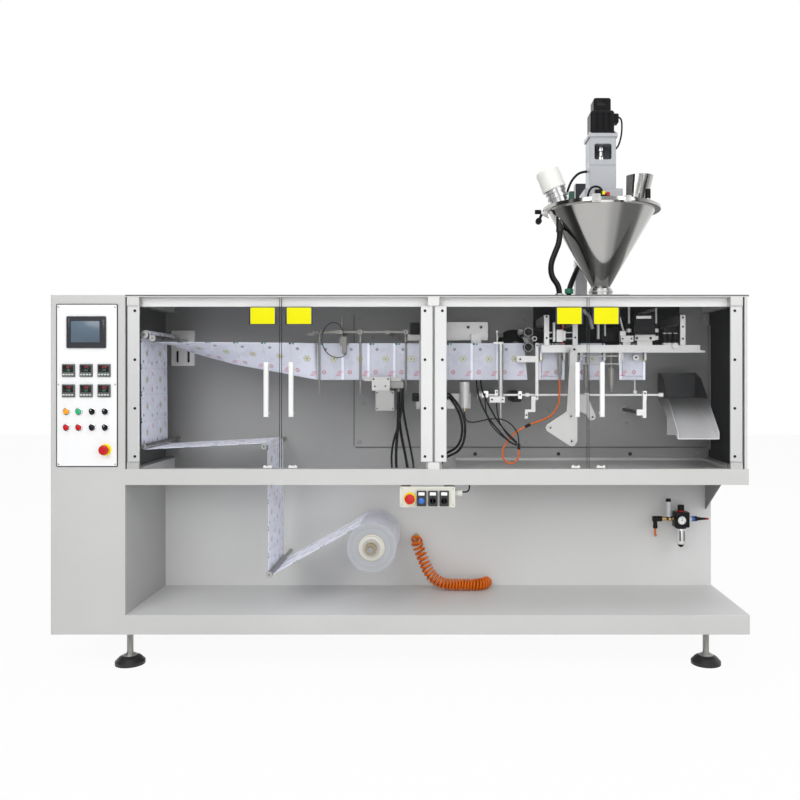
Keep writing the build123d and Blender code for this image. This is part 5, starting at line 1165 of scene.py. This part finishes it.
# Painted reflection and shade: the chute is light low down, darker towards the top and nearly black above its
# knee.
chute_painted_reflection = blended(chute_height.ramp(1.02, 0.93), (0.2, 0.2, 0.205), (0.78, 0.78, 0.79))
chute_painted_reflection = blended(chute_height.ramp(1.024, 1.03), chute_painted_reflection, (0.034, 0.034, 0.036))
chute_lines, sockets = lined(chute_place, chute_painted_reflection, 0.26, (1.0, 1.0, 0.015), 900.0, 3.0)
sockets["Normal"] = bump(chute_lines, 0.00015, 0.35)
shade(chute_finish, {**sockets, "Metallic": 0.4}, "discharge_chute")

punch_finish, punch_place = new_finish("punch_arm_and_jaws")
is_arm = punch_place.axes()[2] < 1.0598
is_jaw = within(punch_place, x=(-0.0488, 0.1), z=(1.05, 1.0965))
punch_colour = blended(is_arm, (0.5, 0.5, 0.49), (0.36, 0.36, 0.35))
shade(punch_finish, {
    "Base Color": blended(is_jaw, punch_colour, (0.26, 0.26, 0.25)),
    "Metallic": (1 - is_arm) * 0.4,
    "Roughness": noise(punch_place, 30.0) * 0.14 + 0.32,
    "Normal": bump(noise(punch_place, 500.0), 0.0003, 0.2),
}, "punch_unit")

FEED_X, FEED_LOW_Z, FEED_HIGH_Z = 0.498, 1.232, 1.291
FEED_TYRE_RADIUS = 0.0146
FEED_RIM_DEPTH = 0.1142
FEED_SHAFT_DEPTH = 0.1505
feed_finish, feed_place = new_finish("feed_rubber_and_chrome")
feed_x, feed_y, feed_z = feed_place.axes()
nearest_z = abs(feed_z - FEED_LOW_Z).maths("MINIMUM", abs(feed_z - FEED_HIGH_Z))
is_rim = (feed_y < FRONT + FEED_RIM_DEPTH) * (radius_of(feed_x - FEED_X, nearest_z) > FEED_TYRE_RADIUS)
is_bright = is_rim | (feed_y > FRONT + FEED_SHAFT_DEPTH)
shade(feed_finish, {
    "Base Color": blended(is_bright, (0.007, 0.007, 0.008), (0.2, 0.2, 0.2)),
    "Specular IOR Level": 0.15,
    "Metallic": is_bright * 0.6,
    "Roughness": noise(feed_place, 60.0) * 0.15 + 0.42 - is_bright * 0.24,
}, "feed_rollers")

valve_finish, valve_place = new_finish("valve_black_and_steel")
is_coil = within(valve_place, x=(0.9185, 0.9965), z=(1.2815, 1.3625), y=(-1, 0.0))
is_fitting = within(valve_place, x=(1.0345, 1.1005), z=(1.2495, 1.2885), y=(-1, 0.0))
is_knob = within(valve_place, x=(0.89, 1.0225), z=(1.3062, 1.3265), y=(-1, -0.25))
is_dark = is_coil + is_fitting | is_knob
shade(valve_finish, {
    "Base Color": blended(is_dark, (0.5, 0.5, 0.49), (0.007, 0.007, 0.008)),
    "Specular IOR Level": 0.16,
    "Metallic": (1 - is_dark) * 0.4,
    "Roughness": noise(valve_place, 60.0) * 0.14 + 0.3,
}, "valve_cluster")


# Small parts of the stations. Screws, nuts, knobs, blocks and bent tubes sit on the rail, its brackets and
# the valves; they are turned or milled from bar, and the black ones are moulded nylon.
def block(x, depth, z, corner=0.0012, bevel=0.0006, axis="y"):
    """Rings of a small block, its depths measured behind the front."""
    return slab(x, (FRONT + depth[0], FRONT + depth[1]), z, corner, bevel, axis)


def bar(centre, along, radius, axis="z"):
    """Rings of a round bar with softened ends, carried between two values along an axis."""
    soft = min(0.0008, radius / 3)
    low, high = along
    profile = [(low, 0), (low, radius - soft), (low + soft, radius), (high - soft, radius),
               (high, radius - soft), (high, 0)]
    x, depth, z = centre
    return turned(profile, (x, FRONT + depth, z), axis, 16)


def swept(points, radius, around=12):
    """Rings of a bent tube: at each point of a smooth line a circle across its tangent,
    centre + radius * (side * cos a + up * sin a)."""
    centre = line_points(behind(points))
    tangent = unit_rows(np.gradient(centre, axis=0))
    side = unit_rows(np.cross(tangent, (0.15, -0.94, 0.3)))
    up = np.cross(side, tangent)
    angle = np.linspace(0, 2 * math.pi, around, endpoint=False)[None, :, None]
    return centre[:, None, :] + radius * (side[:, None, :] * np.cos(angle) + up[:, None, :] * np.sin(angle))


DARK_HEADS = (
    # depth behind the front, radius, places as x and z
    (0.132, 0.0042, ((0.5725, 1.353), (0.5725, 1.2685), (0.6855, 1.353), (0.6855, 1.2705), (1.112, 1.3497),
                     (1.112, 1.3134), (1.112, 1.2658))),
    (0.132, 0.0034, ((-0.113, 1.106), (-0.056, 1.106), (-0.108, 1.077), (-0.066, 1.078))),
    (0.12, 0.0026, ((-0.098, 0.989), (-0.037, 0.989), (-0.098, 1.052), (-0.037, 1.052))),
    (0.132, 0.0052, ((0.9302, 1.268), (0.9846, 1.268))),
    (0.135, 0.0036, ((0.8745, 1.266), (0.909, 1.266))),
    (0.152, 0.0042, ((0.47, 1.1855),)),
    (0.138, 0.004, ((0.356, 1.0245),)),
    (0.118, 0.003, ((0.398, 1.0245),)),
    (0.16, 0.0034, ((0.537, 1.24), (0.537, 1.035), (0.495, 0.962))),
    (0.163, 0.0036, ((0.33, 1.045),)),
    (0.164, 0.003, ((0.376, 1.054),)),
    (0.163, 0.0036, ((0.47, 1.042),)),
    (0.162, 0.0036, ((0.969, 1.049),)),
    (0.068, 0.0036, ((0.58, 0.917), (0.659, 0.962), (0.662, 0.8645))),
    (0.066, 0.005, ((0.672, 1.221),)),
    (0.139, 0.0036, ((0.756, 0.955),)),
    (0.175, 0.003, ((-0.336, 1.295), (-0.171, 1.295), (0.012, 1.295))),
)
knob_black = coated("knob_black", (0.009, 0.009, 0.01), 0.34, cloud=0.1, peel=0.1, gloss=0.2)
station_screws = []
for depth, r, places in DARK_HEADS:
    head = [(0.0004, 0), (0.0004, r), (-0.0012, r), (-0.0018, 0.7 * r), (-0.0018, 0.45 * r),
            (-0.0004, 0.4 * r), (-0.0004, 0)]
    station_screws += [turned(head, (x, FRONT + depth, z), "y", 12) for x, z in places]
joined("station_screws", station_screws, knob_black)

VALVE_DEPTH = 0.15
COIL_XS = (0.9025, 1.01)
NUT_Z = (1.2855, 1.2895)
BALL = [(-0.006, 0), (-0.0055, 0.0028), (-0.003, 0.0052), (0, 0.006), (0.003, 0.0052), (0.0055, 0.0028),
        (0.006, 0)]
COLLAR = [(0.106, 0.0068), (0.106, 0.0092), (0.113, 0.0092), (0.113, 0.0068), (0.106, 0.0068)]
pale_steel = brushed("pale_steel", (0.56, 0.56, 0.55), 0.34, "x", metallic=0.35)
pale_parts = [
    block((0.924, 0.982), (0.1125, 0.1205), (1.344, 1.355)),
    block((0.598, 0.606), (0.126, 0.152), (1.254, 1.33)),
    block((0.865, 0.888), (0.14, 0.152), (1.2775, 1.297)),
    *(bar((x, VALVE_DEPTH, 0), (1.2915, 1.3045), 0.011) for x in COIL_XS),
    *(bar((x, VALVE_DEPTH, 0), NUT_Z, r) for x, r in ((1.045, 0.0092), (1.064, 0.008), (1.088, 0.008))),
    bar((1.082, 0, 1.237), (0.131, 0.1405), 0.0125, "y"),
    bar((0.9338, 0, 1.192), (0.164, 0.174), 0.013, "y"),
    bar((0.9313, 0.175, 0), (1.055, 1.104), 0.003),
    block((0.925, 0.9375), (0.166, 0.186), (1.0455, 1.06)),
    block((0.362, 0.402), (0.139, 0.161), (1.2445, 1.2535)),
    bar((0.3775, 0.15, 0), (1.253, 1.29), 0.0028),
    turned(BALL, (0.3775, FRONT + 0.15, 1.294), "z", 16),
    bar((0.789, 0.2, 0), (1.2675, 1.328), 0.0062),
    bar((0.8165, 0.2, 0), (1.28, 1.328), 0.0042),
    swept([(0.739, 0.25, 1.392), (0.741, 0.25, 1.38), (0.76, 0.25, 1.368), (0.768, 0.248, 1.345),
           (0.774, 0.246, 1.311)], 0.0068),
    swept([(0.866, 0.15, 1.352), (0.872, 0.15, 1.325), (0.882, 0.15, 1.294)], 0.0034),
    turned(COLLAR, (0.522, FRONT, 1.2645), "y", 24),
    block((0.243, 0.268), (0.18, 0.204), (0.998, 1.058), 0.004, 0.002),
    block((0.236, 0.262), (0.176, 0.2), (1.04, 1.062), 0.003, 0.001),
]
joined("station_fittings", pale_parts, pale_steel)

deep_black = coated("nylon_black", (0.007, 0.007, 0.008), 0.44, cloud=0.1, peel=0.2, gloss=0.15)
black_parts = [
    bar((0.522, 0, 1.2645), (0.1052, 0.149), 0.007, "y"),
    block((0.915, 0.998), (0.1125, 0.1205), (1.2835, 1.3225)),
    block((0.611, 0.627), (0.131, 0.149), (1.3005, 1.3255)),
    *(bar((x, VALVE_DEPTH, 0), (1.2775, 1.2915), r) for x, r in zip(COIL_XS, (0.01, 0.0105))),
    block((1.04, 1.096), (0.15, 0.172), (1.289, 1.312)),
    block((0.802, 0.872), (0.205, 0.225), (1.256, 1.313), 0.012, 0.004),
    bar((0.9338, 0, 1.192), (0.1625, 0.1645), 0.0045, "y"),
    bar((0.895, 0, 1.37), (0.24, 0.26), 0.015, "y"),
    swept([(0.5075, 0.1312, 0.9262), (0.4967, 0.13, 0.9218), (0.486, 0.1288, 0.9165)], 0.0064),
]
joined("station_black_parts", black_parts, deep_black)
red_tube, red_place = new_finish("red_tube")
shade(red_tube, {"Base Color": (0.52, 0.03, 0.018), "Roughness": noise(red_place, 90.0) * 0.15 + 0.26})
joined("carriage_tube_red", [bar((0.6365, 0.1325, 0), (1.2405, 1.3195), 0.0026),
                             block((0.633, 0.64), (0.13, 0.141), (1.313, 1.32))], red_tube)

# Brackets on the back: a switch block and cable clamp behind the shaft, the stop bracket beside the middle
# stile, and the angle plates that tie the right end wall to the back panel, all of grey painted plate.
bracket_grey = coated("bracket_grey", (0.36, 0.36, 0.35), 0.4)
to_plate = PLATE_FRONT - FRONT
to_panel = PANEL_FRONT - FRONT
in_plate = to_plate + 0.0005
bracket_plates = [
    block((1.286, 1.314), (to_plate - 0.006, in_plate), (1.339, 1.389)),
    block((1.252, 1.312), (to_panel - 0.006, to_panel + 0.0005), (0.769, 0.797)),
    block((1.313, 1.318), (to_plate - 0.016, to_panel), (0.8, 1.338)),
    block((0.303, 0.34), (0.3, in_plate), (1.022, 1.0555), 0.003),
    block((0.0655, 0.0735), (0.166, 0.176), (0.986, 1.272)),
    block((0.02, 0.07), (0.16, 0.176), (1.26, 1.284), 0.002),
    block((0.054, 0.073), (0.158, 0.178), (0.986, 1.016), 0.002),
    block((0.04, 0.06), (0.174, in_plate), (1.288, 1.308), 0.002),
    block((0.06, 0.073), (0.176, in_plate), (1.03, 1.046), 0.002),
]
joined("bracket_plates", bracket_plates, bracket_grey)
bracket_blocks = [
    block((0.031, 0.068), (0.158, 0.182), (1.283, 1.3315), 0.003),
    block((0.038, 0.066), (0.164, 0.19), (1.016, 1.05), 0.004),
    block((0.442, 0.482), (0.24, in_plate), (1.012, 1.056), 0.005, 0.002),
]
joined("bracket_black_parts", bracket_blocks, deep_black)
angle_screws = [(x, PLATE_FRONT - 0.006, z) for x, z in ((1.294, 1.38), (1.294, 1.364), (1.306, 1.347))]
angle_screws += [(x, PANEL_FRONT - 0.006, 0.783) for x in (1.266, 1.298)]
joined("bracket_screws", screw_heads(angle_screws, 0.0042, 0.0018), screw_steel)


# Control station. A cream moulded box under the beam, with an emergency stop, a blue and two black selectors
# on black modules with blank white tags, and a cable gland at its right end.
pendant_low, pendant_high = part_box("pendant_station")
PENDANT_FACE = FRONT + 0.002
PENDANT_Z = (pendant_low.z + SPLIT_Z - 0.007) / 2 - 0.005
KNOB_Z = PENDANT_Z - 0.008
MODULES = (0.081, 0.124, 0.167)
pendant_finish, pendant_place = new_finish("pendant_moulding")
in_front = (-1.0, PENDANT_FACE - 0.0003)
is_module = within(pendant_place, x=(0.0625, 0.1855), y=in_front)
is_button = within(pendant_place, x=(0.0, 0.0605), y=in_front)
is_top = within(pendant_place, x=(0.03, 0.175), z=(SPLIT_Z - 0.0069, 1.0))
pendant_colour = blended(is_module, (0.66, 0.65, 0.58), (0.02, 0.02, 0.022))
pendant_colour = blended(is_button, pendant_colour, (0.85, 0.62, 0.01))
shade(pendant_finish, {
    "Base Color": blended(is_top, pendant_colour, (0.5, 0.5, 0.49)),
    "Roughness": noise(pendant_place, 40.0) * 0.14 + 0.34,
    "Normal": bump(noise(pendant_place, 500.0), 0.0003, 0.2),
}, "pendant_station")
PENDANT_STOP = [(-0.008, 0), (-0.008, 0.0125), (-0.0115, 0.0165), (-0.015, 0.0186), (-0.0185, 0.019),
                (-0.021, 0.0178), (-0.0222, 0.014), (-0.0226, 0.0)]
spun("pendant_stop_head", PENDANT_STOP, (0.037, FRONT - 0.006, PENDANT_Z), stop_red,
     around=36)
tags = [slab(about(x, 0.0115), (FRONT - 0.0092, FRONT - 0.0078), (PENDANT_Z + 0.012, PENDANT_Z + 0.024),
             0.001, 0.0004) for x in MODULES]
joined("pendant_tags", tags, panel_white)
KNOB = [(-0.008, 0), (-0.008, 0.0118), (-0.0125, 0.0118), (-0.014, 0.0105), (-0.014, 0.0)]
black_knobs = []
for x in MODULES[1:]:
    black_knobs += [turned(KNOB, (x, FRONT, KNOB_Z), "y", 24),
                    slab(about(x, 0.003), (FRONT - 0.0215, FRONT - 0.0135),
                         (PENDANT_Z - 0.0185, PENDANT_Z + 0.0025), 0.0026, 0.001)]
joined("pendant_knobs", black_knobs, knob_black)
blue_cap = coated("cap_blue", (0.02, 0.13, 0.5), 0.26, cloud=0.03, coat=0.2)
BLUE_KNOB = [(-0.008, 0), (-0.008, 0.0118), (-0.015, 0.0112), (-0.0165, 0.0085), (-0.017, 0.0)]
spun("pendant_blue_cap", BLUE_KNOB, (MODULES[0], FRONT, KNOB_Z), blue_cap)
pendant_screws = [(x, PENDANT_FACE, z) for x in (0.006, 0.201)
                  for z in (pendant_low.z + 0.007, SPLIT_Z - 0.0145)]
joined("pendant_screws", screw_heads(pendant_screws, 0.0032, 0.0012), screw_steel)
GLAND = [(0.0005, 0), (0.0005, 0.0136), (0.01, 0.0136), (0.011, 0.0115), (0.022, 0.0115), (0.0262, 0.0085),
         (0.0268, 0.0)]
gland_foot = (pendant_high.x - 0.027, FRONT + 0.032, PENDANT_Z + 0.016)
spun("pendant_gland", GLAND, gland_foot, key_grey, "x", 12)


# Compressed air unit. A black die-cast filter regulator has a fluted knob over a red ring, a white gauge, and
# a silver bowl guard with two windows; push-in fittings and a blue and white coupler stand at its ports.
UNIT_X, UNIT_Y = 1.174, FRONT + 0.378
PORT_Z = 0.51
UNIT_AXIS = (UNIT_X, UNIT_Y, 0)
cast_black = coated("cast_black", (0.01, 0.01, 0.011), 0.36, cloud=0.1, peel=0.35, gloss=0.2)
unit_body = [
    slab((1.143, 1.205), about(UNIT_Y, 0.028), (0.4765, 0.5405), 0.006, 0.003, "z"),
    slab((1.156, 1.192), (UNIT_Y + 0.026, PANEL_FRONT), (0.486, 0.53), 0.004, 0.002, "y"),
    turned([(0.47, 0), (0.47, 0.0225), (0.4775, 0.0245), (0.4775, 0)], UNIT_AXIS, "z", 36),
    turned([(0.54, 0), (0.54, 0.0115), (0.546, 0.0125), (0.546, 0)], UNIT_AXIS, "z", 32),
]
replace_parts(joined("regulator_body", unit_body, cast_black), "air_regulator")
AROUND_KNOB = 48
FLUTES = 12
UNIT_KNOB = [(0.546, 0), (0.546, 0.0142), (0.5665, 0.0138), (0.5695, 0.0122), (0.57, 0.0)]
knob_angle = np.linspace(0, 2 * math.pi, AROUND_KNOB, endpoint=False)
fluted = 1 - 0.07 * (np.sin(knob_angle * FLUTES) > 0)
knob_rings = turned(UNIT_KNOB, UNIT_AXIS, "z", AROUND_KNOB)
knob_rings[..., :2] = (knob_rings[..., :2] - (UNIT_X, UNIT_Y)) * fluted[None, :, None] + (UNIT_X, UNIT_Y)
joined("regulator_knob", [knob_rings], knob_black)
spun("regulator_ring", [(0.5405, 0), (0.5405, 0.0146), (0.5455, 0.0146), (0.5455, 0)], UNIT_AXIS, stop_red,
     "z", 32)
bowl_silver, bowl_place = new_finish("bowl_guard")
from_window = abs(abs(bowl_place.axes()[0] - UNIT_X) - 0.0085)
is_window = within(bowl_place, z=(0.418, 0.462)) * from_window.ramp(0.003, 0.0024)
shade(bowl_silver, {
    "Base Color": blended(is_window, (0.8, 0.8, 0.79), (0.02, 0.02, 0.022)),
    "Metallic": (1 - is_window) * 0.45,
    "Roughness": noise(bowl_place, 60.0) * 0.1 + 0.28,
    "Normal": bump(1 - is_window, 0.0012, 0.8),
})
BOWL = [(0.404, 0), (0.404, 0.02), (0.408, 0.0212), (0.466, 0.0212), (0.4705, 0.02), (0.4705, 0)]
DRAIN = [(0.39, 0), (0.39, 0.005), (0.3935, 0.0056), (0.3935, 0.0105), (0.404, 0.015), (0.4045, 0)]
spun("regulator_bowl", BOWL, UNIT_AXIS, bowl_silver, "z", 40)
spun("regulator_drain", DRAIN, UNIT_AXIS, knob_black, "z", 28)

GAUGE = (1.167, UNIT_Y - 0.028, PORT_Z)
GAUGE_CASE = [(0.001, 0), (0.001, 0.019), (-0.012, 0.02), (-0.016, 0.0198), (-0.016, 0.0172),
              (-0.014, 0.0168), (-0.014, 0)]
spun("gauge_case", GAUGE_CASE, GAUGE, cast_black, around=40)
gauge_white, gauge_place = new_finish("gauge_dial")
gauge_x = gauge_place.axes()[0] - GAUGE[0]
gauge_z = gauge_place.axes()[2] - GAUGE[2]
dial_radius = radius_of(gauge_x, gauge_z)
dial_angle = gauge_x.maths("ARCTAN2", gauge_z)
TICKS_IN_HALF_TURN = 18
DIAL_REACH = 2.4
on_tick = (dial_angle * (TICKS_IN_HALF_TURN / math.pi)).maths("FRACT") < 0.22
ticks = on_tick * dial_radius.ramp(0.0118, 0.0121) * dial_radius.ramp(0.0153, 0.015)
ticks = ticks * (abs(dial_angle) < DIAL_REACH)
needle = within(gauge_place, x=about(GAUGE[0], 0.0006), z=(GAUGE[2] - 0.003, GAUGE[2] + 0.0125))
is_marked = ticks + needle | dial_radius.ramp(0.0022, 0.0018)
shade(gauge_white, {
    "Base Color": blended(is_marked, (0.86, 0.86, 0.85), (0.02, 0.02, 0.02)),
    "Roughness": noise(gauge_place, 100.0) * 0.05 + 0.12,
})
spun("gauge_dial", [(-0.0135, 0), (-0.0135, 0.017), (-0.0146, 0.017), (-0.0146, 0)], GAUGE, gauge_white,
     around=36)

NIPPLE = [(0.0, 0), (0.0, 0.0095), (0.008, 0.0095), (0.009, 0.0078), (0.026, 0.0078), (0.027, 0.011),
          (0.038, 0.011), (0.0395, 0.0085), (0.05, 0.0085), (0.0505, 0)]
brass = brushed("nipple_brass", (0.62, 0.44, 0.2), 0.26, "x")
spun("regulator_nipple", NIPPLE, (1.0925, UNIT_Y, PORT_Z), brass, "x")
ELBOW_ACROSS = [(0.0, 0), (0.0, 0.0105), (0.0015, 0.0118), (0.038, 0.0118), (0.04, 0.01), (0.0405, 0)]
ELBOW_DOWN = [(0.469, 0), (0.469, 0.008), (0.471, 0.0098), (0.482, 0.0098), (0.483, 0.0088), (0.512, 0.0088),
              (0.512, 0)]
elbow = [turned(ELBOW_ACROSS, (1.053, UNIT_Y, PORT_Z), "x", 28),
         turned(ELBOW_DOWN, (1.065, UNIT_Y, 0), "z", 24)]
joined("regulator_elbow", elbow, cast_black)
coupler_grey = coated("coupler_grey", (0.6, 0.61, 0.62), 0.32)
COUPLERS = (
    # name, x, finish, slot, points around, profile
    ("white", 1.205, coupler_grey, "grey_plastic", 24, [(0, 0), (0, 0.01), (0.014, 0.01), (0.0145, 0)]),
    ("blue", 1.219, blue_cap, "button_plastic", 24, [(0, 0), (0, 0.0112), (0.012, 0.0112), (0.0125, 0)]),
    ("black", 1.231, cast_black, "black_plastic", 24, [
        (0, 0), (0, 0.011), (0.01, 0.011), (0.012, 0.009), (0.026, 0.0062), (0.05, 0.0045), (0.0505, 0)]),
    ("tip", 1.2805, stop_red, "button_plastic", 20, [(0, 0), (0, 0.0052), (0.011, 0.0046), (0.012, 0)]),
)
for name, x, finish, slot, around, profile in COUPLERS:
    spun(f"coupler_{name}", profile, (x, UNIT_Y, PORT_Z), finish, "x", around)
FLOW_AXIS = (1.121, UNIT_Y, 0)
FLOW_TUBE = [(0.519, 0), (0.519, 0.0112), (0.53, 0.0112), (0.531, 0.0102), (0.583, 0.0102), (0.584, 0)]
FLOW_CAP = [(0.5835, 0), (0.5835, 0.0112), (0.592, 0.0108), (0.596, 0.0082), (0.596, 0)]
spun("flow_tube", FLOW_TUBE, FLOW_AXIS, coupler_grey, "z", 20)
joined("flow_cap", [turned(FLOW_CAP, FLOW_AXIS, "z", 20),
                    slab((1.112, 1.136), about(UNIT_Y, 0.009), (0.505, 0.5205), 0.002, 0.001, "z")],
       cast_black)


# Auger filler. The cone, lid and funnel are polished stainless sheet; the column is painted grey, with a
# window on the coupling; the servo is black with cast fins and the stirrer motor has a white cap.
cone_low, cone_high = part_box("hopper_cone")
servo_low, servo_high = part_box("servo_motor")
CONE_X = (cone_low.x + cone_high.x) / 2
CONE_Y = (cone_low.y + cone_high.y) / 2
HOSE_X, HOSE_Y, _ = cord_exits["filler_hose_front_black"]
CONE_SLOPE = 0.5844
NECK_Z = 1.467
NECK_RADIUS = 0.032
CONE_WALL = 0.0012
HOSE_END_RADIUS = 0.016
polished, polished_place = new_finish("polished_stainless")
polish_lines = noise(polished_place, 500.0, 2.0, (1.0, 1.0, 0.03))
smears = noise(polished_place, 11.0, 4.0)
polished_x, polished_y, polished_z = polished_place.axes()
to_cone = radius_of(polished_x - CONE_X, polished_y - CONE_Y)
to_hose = radius_of(polished_x - HOSE_X, polished_y - HOSE_Y)
off_cone = (to_cone - (polished_z - NECK_Z) * CONE_SLOPE - NECK_RADIUS) > CONE_WALL
is_hose_end = (to_hose < HOSE_END_RADIUS) * off_cone * (polished_z < 1.76)
polished_colour = blended(is_hose_end, (0.52, 0.515, 0.5), (0.008, 0.008, 0.009))
shade(polished, {
    "Base Color": tinted(polished_colour, polish_lines * 0.06 + smears * 0.1 + 0.9),
    "Metallic": 1 - is_hose_end,
    "Roughness": smears * 0.1 + polish_lines * 0.05 + 0.05 + is_hose_end * 0.35,
    "Normal": bump(smears, 0.001, 0.06),
}, "hopper_cone", "hopper_lid", "feed_funnel")

column_finish, column_place = new_finish("column_paint_and_coupling")
column_x, column_y, _ = column_place.axes()
column_half = (servo_high.y - servo_low.y) / 2 - 0.006
WINDOW_Z = (1.9716, 2.0464)
COUPLING_RADIUS = 0.0195
in_window = within(column_place, z=WINDOW_Z)
is_coupling = (radius_of(column_x - CONE_X, column_y - CONE_Y) < COUPLING_RADIUS) * in_window
is_cavity = (abs(column_y - CONE_Y) < column_half) * in_window * (1 - is_coupling)
column_seams = within(column_place, z=(1.9542, 1.956)) + within(column_place, z=(1.8565, 1.8578))
column_colour = blended(is_coupling, (0.4, 0.41, 0.43), (0.6, 0.6, 0.6))
column_colour = blended(is_cavity, column_colour, (0.3, 0.32, 0.35))
shade(column_finish, {
    "Base Color": blended(column_seams * 0.7, column_colour, (0.05, 0.05, 0.05)),
    "Metallic": is_coupling,
    "Roughness": noise(column_place, 20.0) * 0.12 + 0.34 - is_coupling * 0.14,
    "Normal": bump(noise(column_place, PEEL_SCALE), PEEL_DEPTH, 0.15),
}, "auger_column")
dress(coated("servo_black", (0.006, 0.006, 0.007), 0.46, cloud=0.1, peel=0.3, gloss=0.14), "servo_motor")

stand_finish, stand_place = new_finish("stand_paint")
is_neck = within(stand_place, y=about(CONE_Y, 0.047), z=(ROOF_TOP + 0.0125, 1.47))
is_cover = stand_place.axes()[2].ramp(1.79, 1.794)
stand_colour = blended(is_neck, (0.4, 0.4, 0.41), (0.5, 0.5, 0.49))
shade(stand_finish, {
    "Base Color": blended(is_cover, stand_colour, (0.02, 0.022, 0.026)),
    "Metallic": is_neck,
    "Roughness": noise(stand_place, 30.0) * 0.14 + 0.3 - is_neck * 0.12,
}, "filler_stand")

LEAN = math.radians(22.0)
STIRRER_FOOT = (0.641, 1.794)
CAP_FROM = 0.0802
stirrer_finish, stirrer_place = new_finish("stirrer_cap_and_tube")
stirrer_x, _, stirrer_z = stirrer_place.axes()
along_tube = stirrer_z * math.cos(LEAN) - stirrer_x * math.sin(LEAN)
foot_along = STIRRER_FOOT[1] * math.cos(LEAN) - STIRRER_FOOT[0] * math.sin(LEAN)
is_cap = along_tube > foot_along + CAP_FROM
shade(stirrer_finish, {
    "Base Color": blended(is_cap, (0.58, 0.58, 0.58), (0.8, 0.8, 0.76)),
    "Metallic": 1 - is_cap,
    "Roughness": noise(stirrer_place, 40.0) * 0.12 + 0.24,
}, "agitator_drive")


def round_axis(radius, angles, middle=(0.0, 0.0)):
    """Places (x, y) at some angles on a circle."""
    return [(middle[0] + radius * math.cos(a), middle[1] + radius * math.sin(a)) for a in angles]


RIM_BOLTS_Z = 1.7938
bolt_angles = [k * math.pi / 6 + 0.26 for k in range(12)]
rim_bolts = [(x, y, RIM_BOLTS_Z) for x, y in round_axis(0.2215, bolt_angles, (CONE_X, CONE_Y))]
joined("rim_bolts", screw_heads(rim_bolts, 0.006, 0.005, "z", 1.0), screw_steel)

# Fittings of the filler: hand knobs and a clamp at the rim, a lifting handle and two buttons on the lid,
# bolts round the neck and four at the motor plate. Knobs are black nylon; the rest is stainless bar.
LID_TOP = 1.794
IN_LID = LID_TOP - 0.0005
AXIS_X, AXIS_DEPTH = 0.797, 0.19
lid_black = [
    bar((0, 0.19, 1.779), (0.532, 0.556), 0.009, "x"),
    bar((0.547, 0, 1.742), (0.179, 0.201), 0.0125, "y"),
    swept([(0.562, 0.19, 1.777), (0.556, 0.19, 1.762), (0.549, 0.19, 1.746)], 0.0055),
    bar((0.956, 0.06, 0), (1.806, 1.842), 0.0105),
    bar((0.76, 0.045, 0), (IN_LID, 1.836), 0.0125),
    bar((0.782, 0.05, 0), (IN_LID, 1.818), 0.0075),
    bar((0.8, 0.05, 0), (IN_LID, 1.814), 0.0075),
    block((0.77, 0.812), (0.075, 0.11), (IN_LID, 1.83), 0.003, 0.001),
    swept([(0.722, 0.06, LID_TOP), (0.723, 0.06, 1.824), (0.738, 0.06, 1.852), (0.768, 0.06, 1.852),
           (0.782, 0.06, 1.832), (0.784, 0.06, LID_TOP)], 0.0042),
]
joined("lid_knobs_black", lid_black, deep_black)
nut_green = coated("nut_green", (0.02, 0.24, 0.13), 0.34)
box_green = coated("box_green", (0.012, 0.07, 0.05), 0.36)
COLOURED = (
    # name, rings, finish, slot
    ("lid_button_yellow", bar((0.782, 0.05, 0), (1.8175, 1.832), 0.0066), stop_yellow, "button_plastic"),
    ("lid_button_red", bar((0.8, 0.05, 0), (1.8135, 1.828), 0.0066), stop_red, "button_plastic"),
    ("hose_nut_green", bar((0.6855, 0.2965, 0), (1.46, 1.48), 0.0185), nut_green, "brass_fitting"),
    ("lid_box_green", block((0.664, 0.684), (0.14, 0.166), (IN_LID, 1.852), 0.002, 0.001), box_green,
     "black_plastic"),
)
for name, rings, finish, slot in COLOURED:
    joined(name, [rings], finish)
neck_bolts = round_axis(0.0385, np.arange(6) * math.pi / 3 + 0.3, (AXIS_X, AXIS_DEPTH))
motor_bolts = [(AXIS_X + dx, AXIS_DEPTH + dy) for dx in (-0.0515, 0.0515) for dy in (-0.0515, 0.0515)]
filler_steel = [
    *(bar((x, depth, 0), (1.4665, 1.474), 0.0055) for x, depth in neck_bolts),
    bar((AXIS_X, AXIS_DEPTH, 0), (1.452, 1.46), 0.049),
    bar((0.956, 0.06, 0), (IN_LID, 1.8065), 0.008),
    block((0.557, 0.585), (0.183, 0.197), (1.768, 1.787), 0.002),
    block((0.72, 0.752), (-0.052, -0.043), (1.768, 1.801), 0.003, 0.001),
    block((0.727, 0.745), (-0.056, -0.0515), (1.772, 1.79), 0.002, 0.001),
    block((0.842, 0.87), (-0.04, -0.033), (1.772, 1.797), 0.003, 0.001),
    *(bar((x, depth, 0), (2.0805, 2.085), 0.005) for x, depth in motor_bolts),
]
joined("filler_steel_parts", filler_steel, screw_steel)
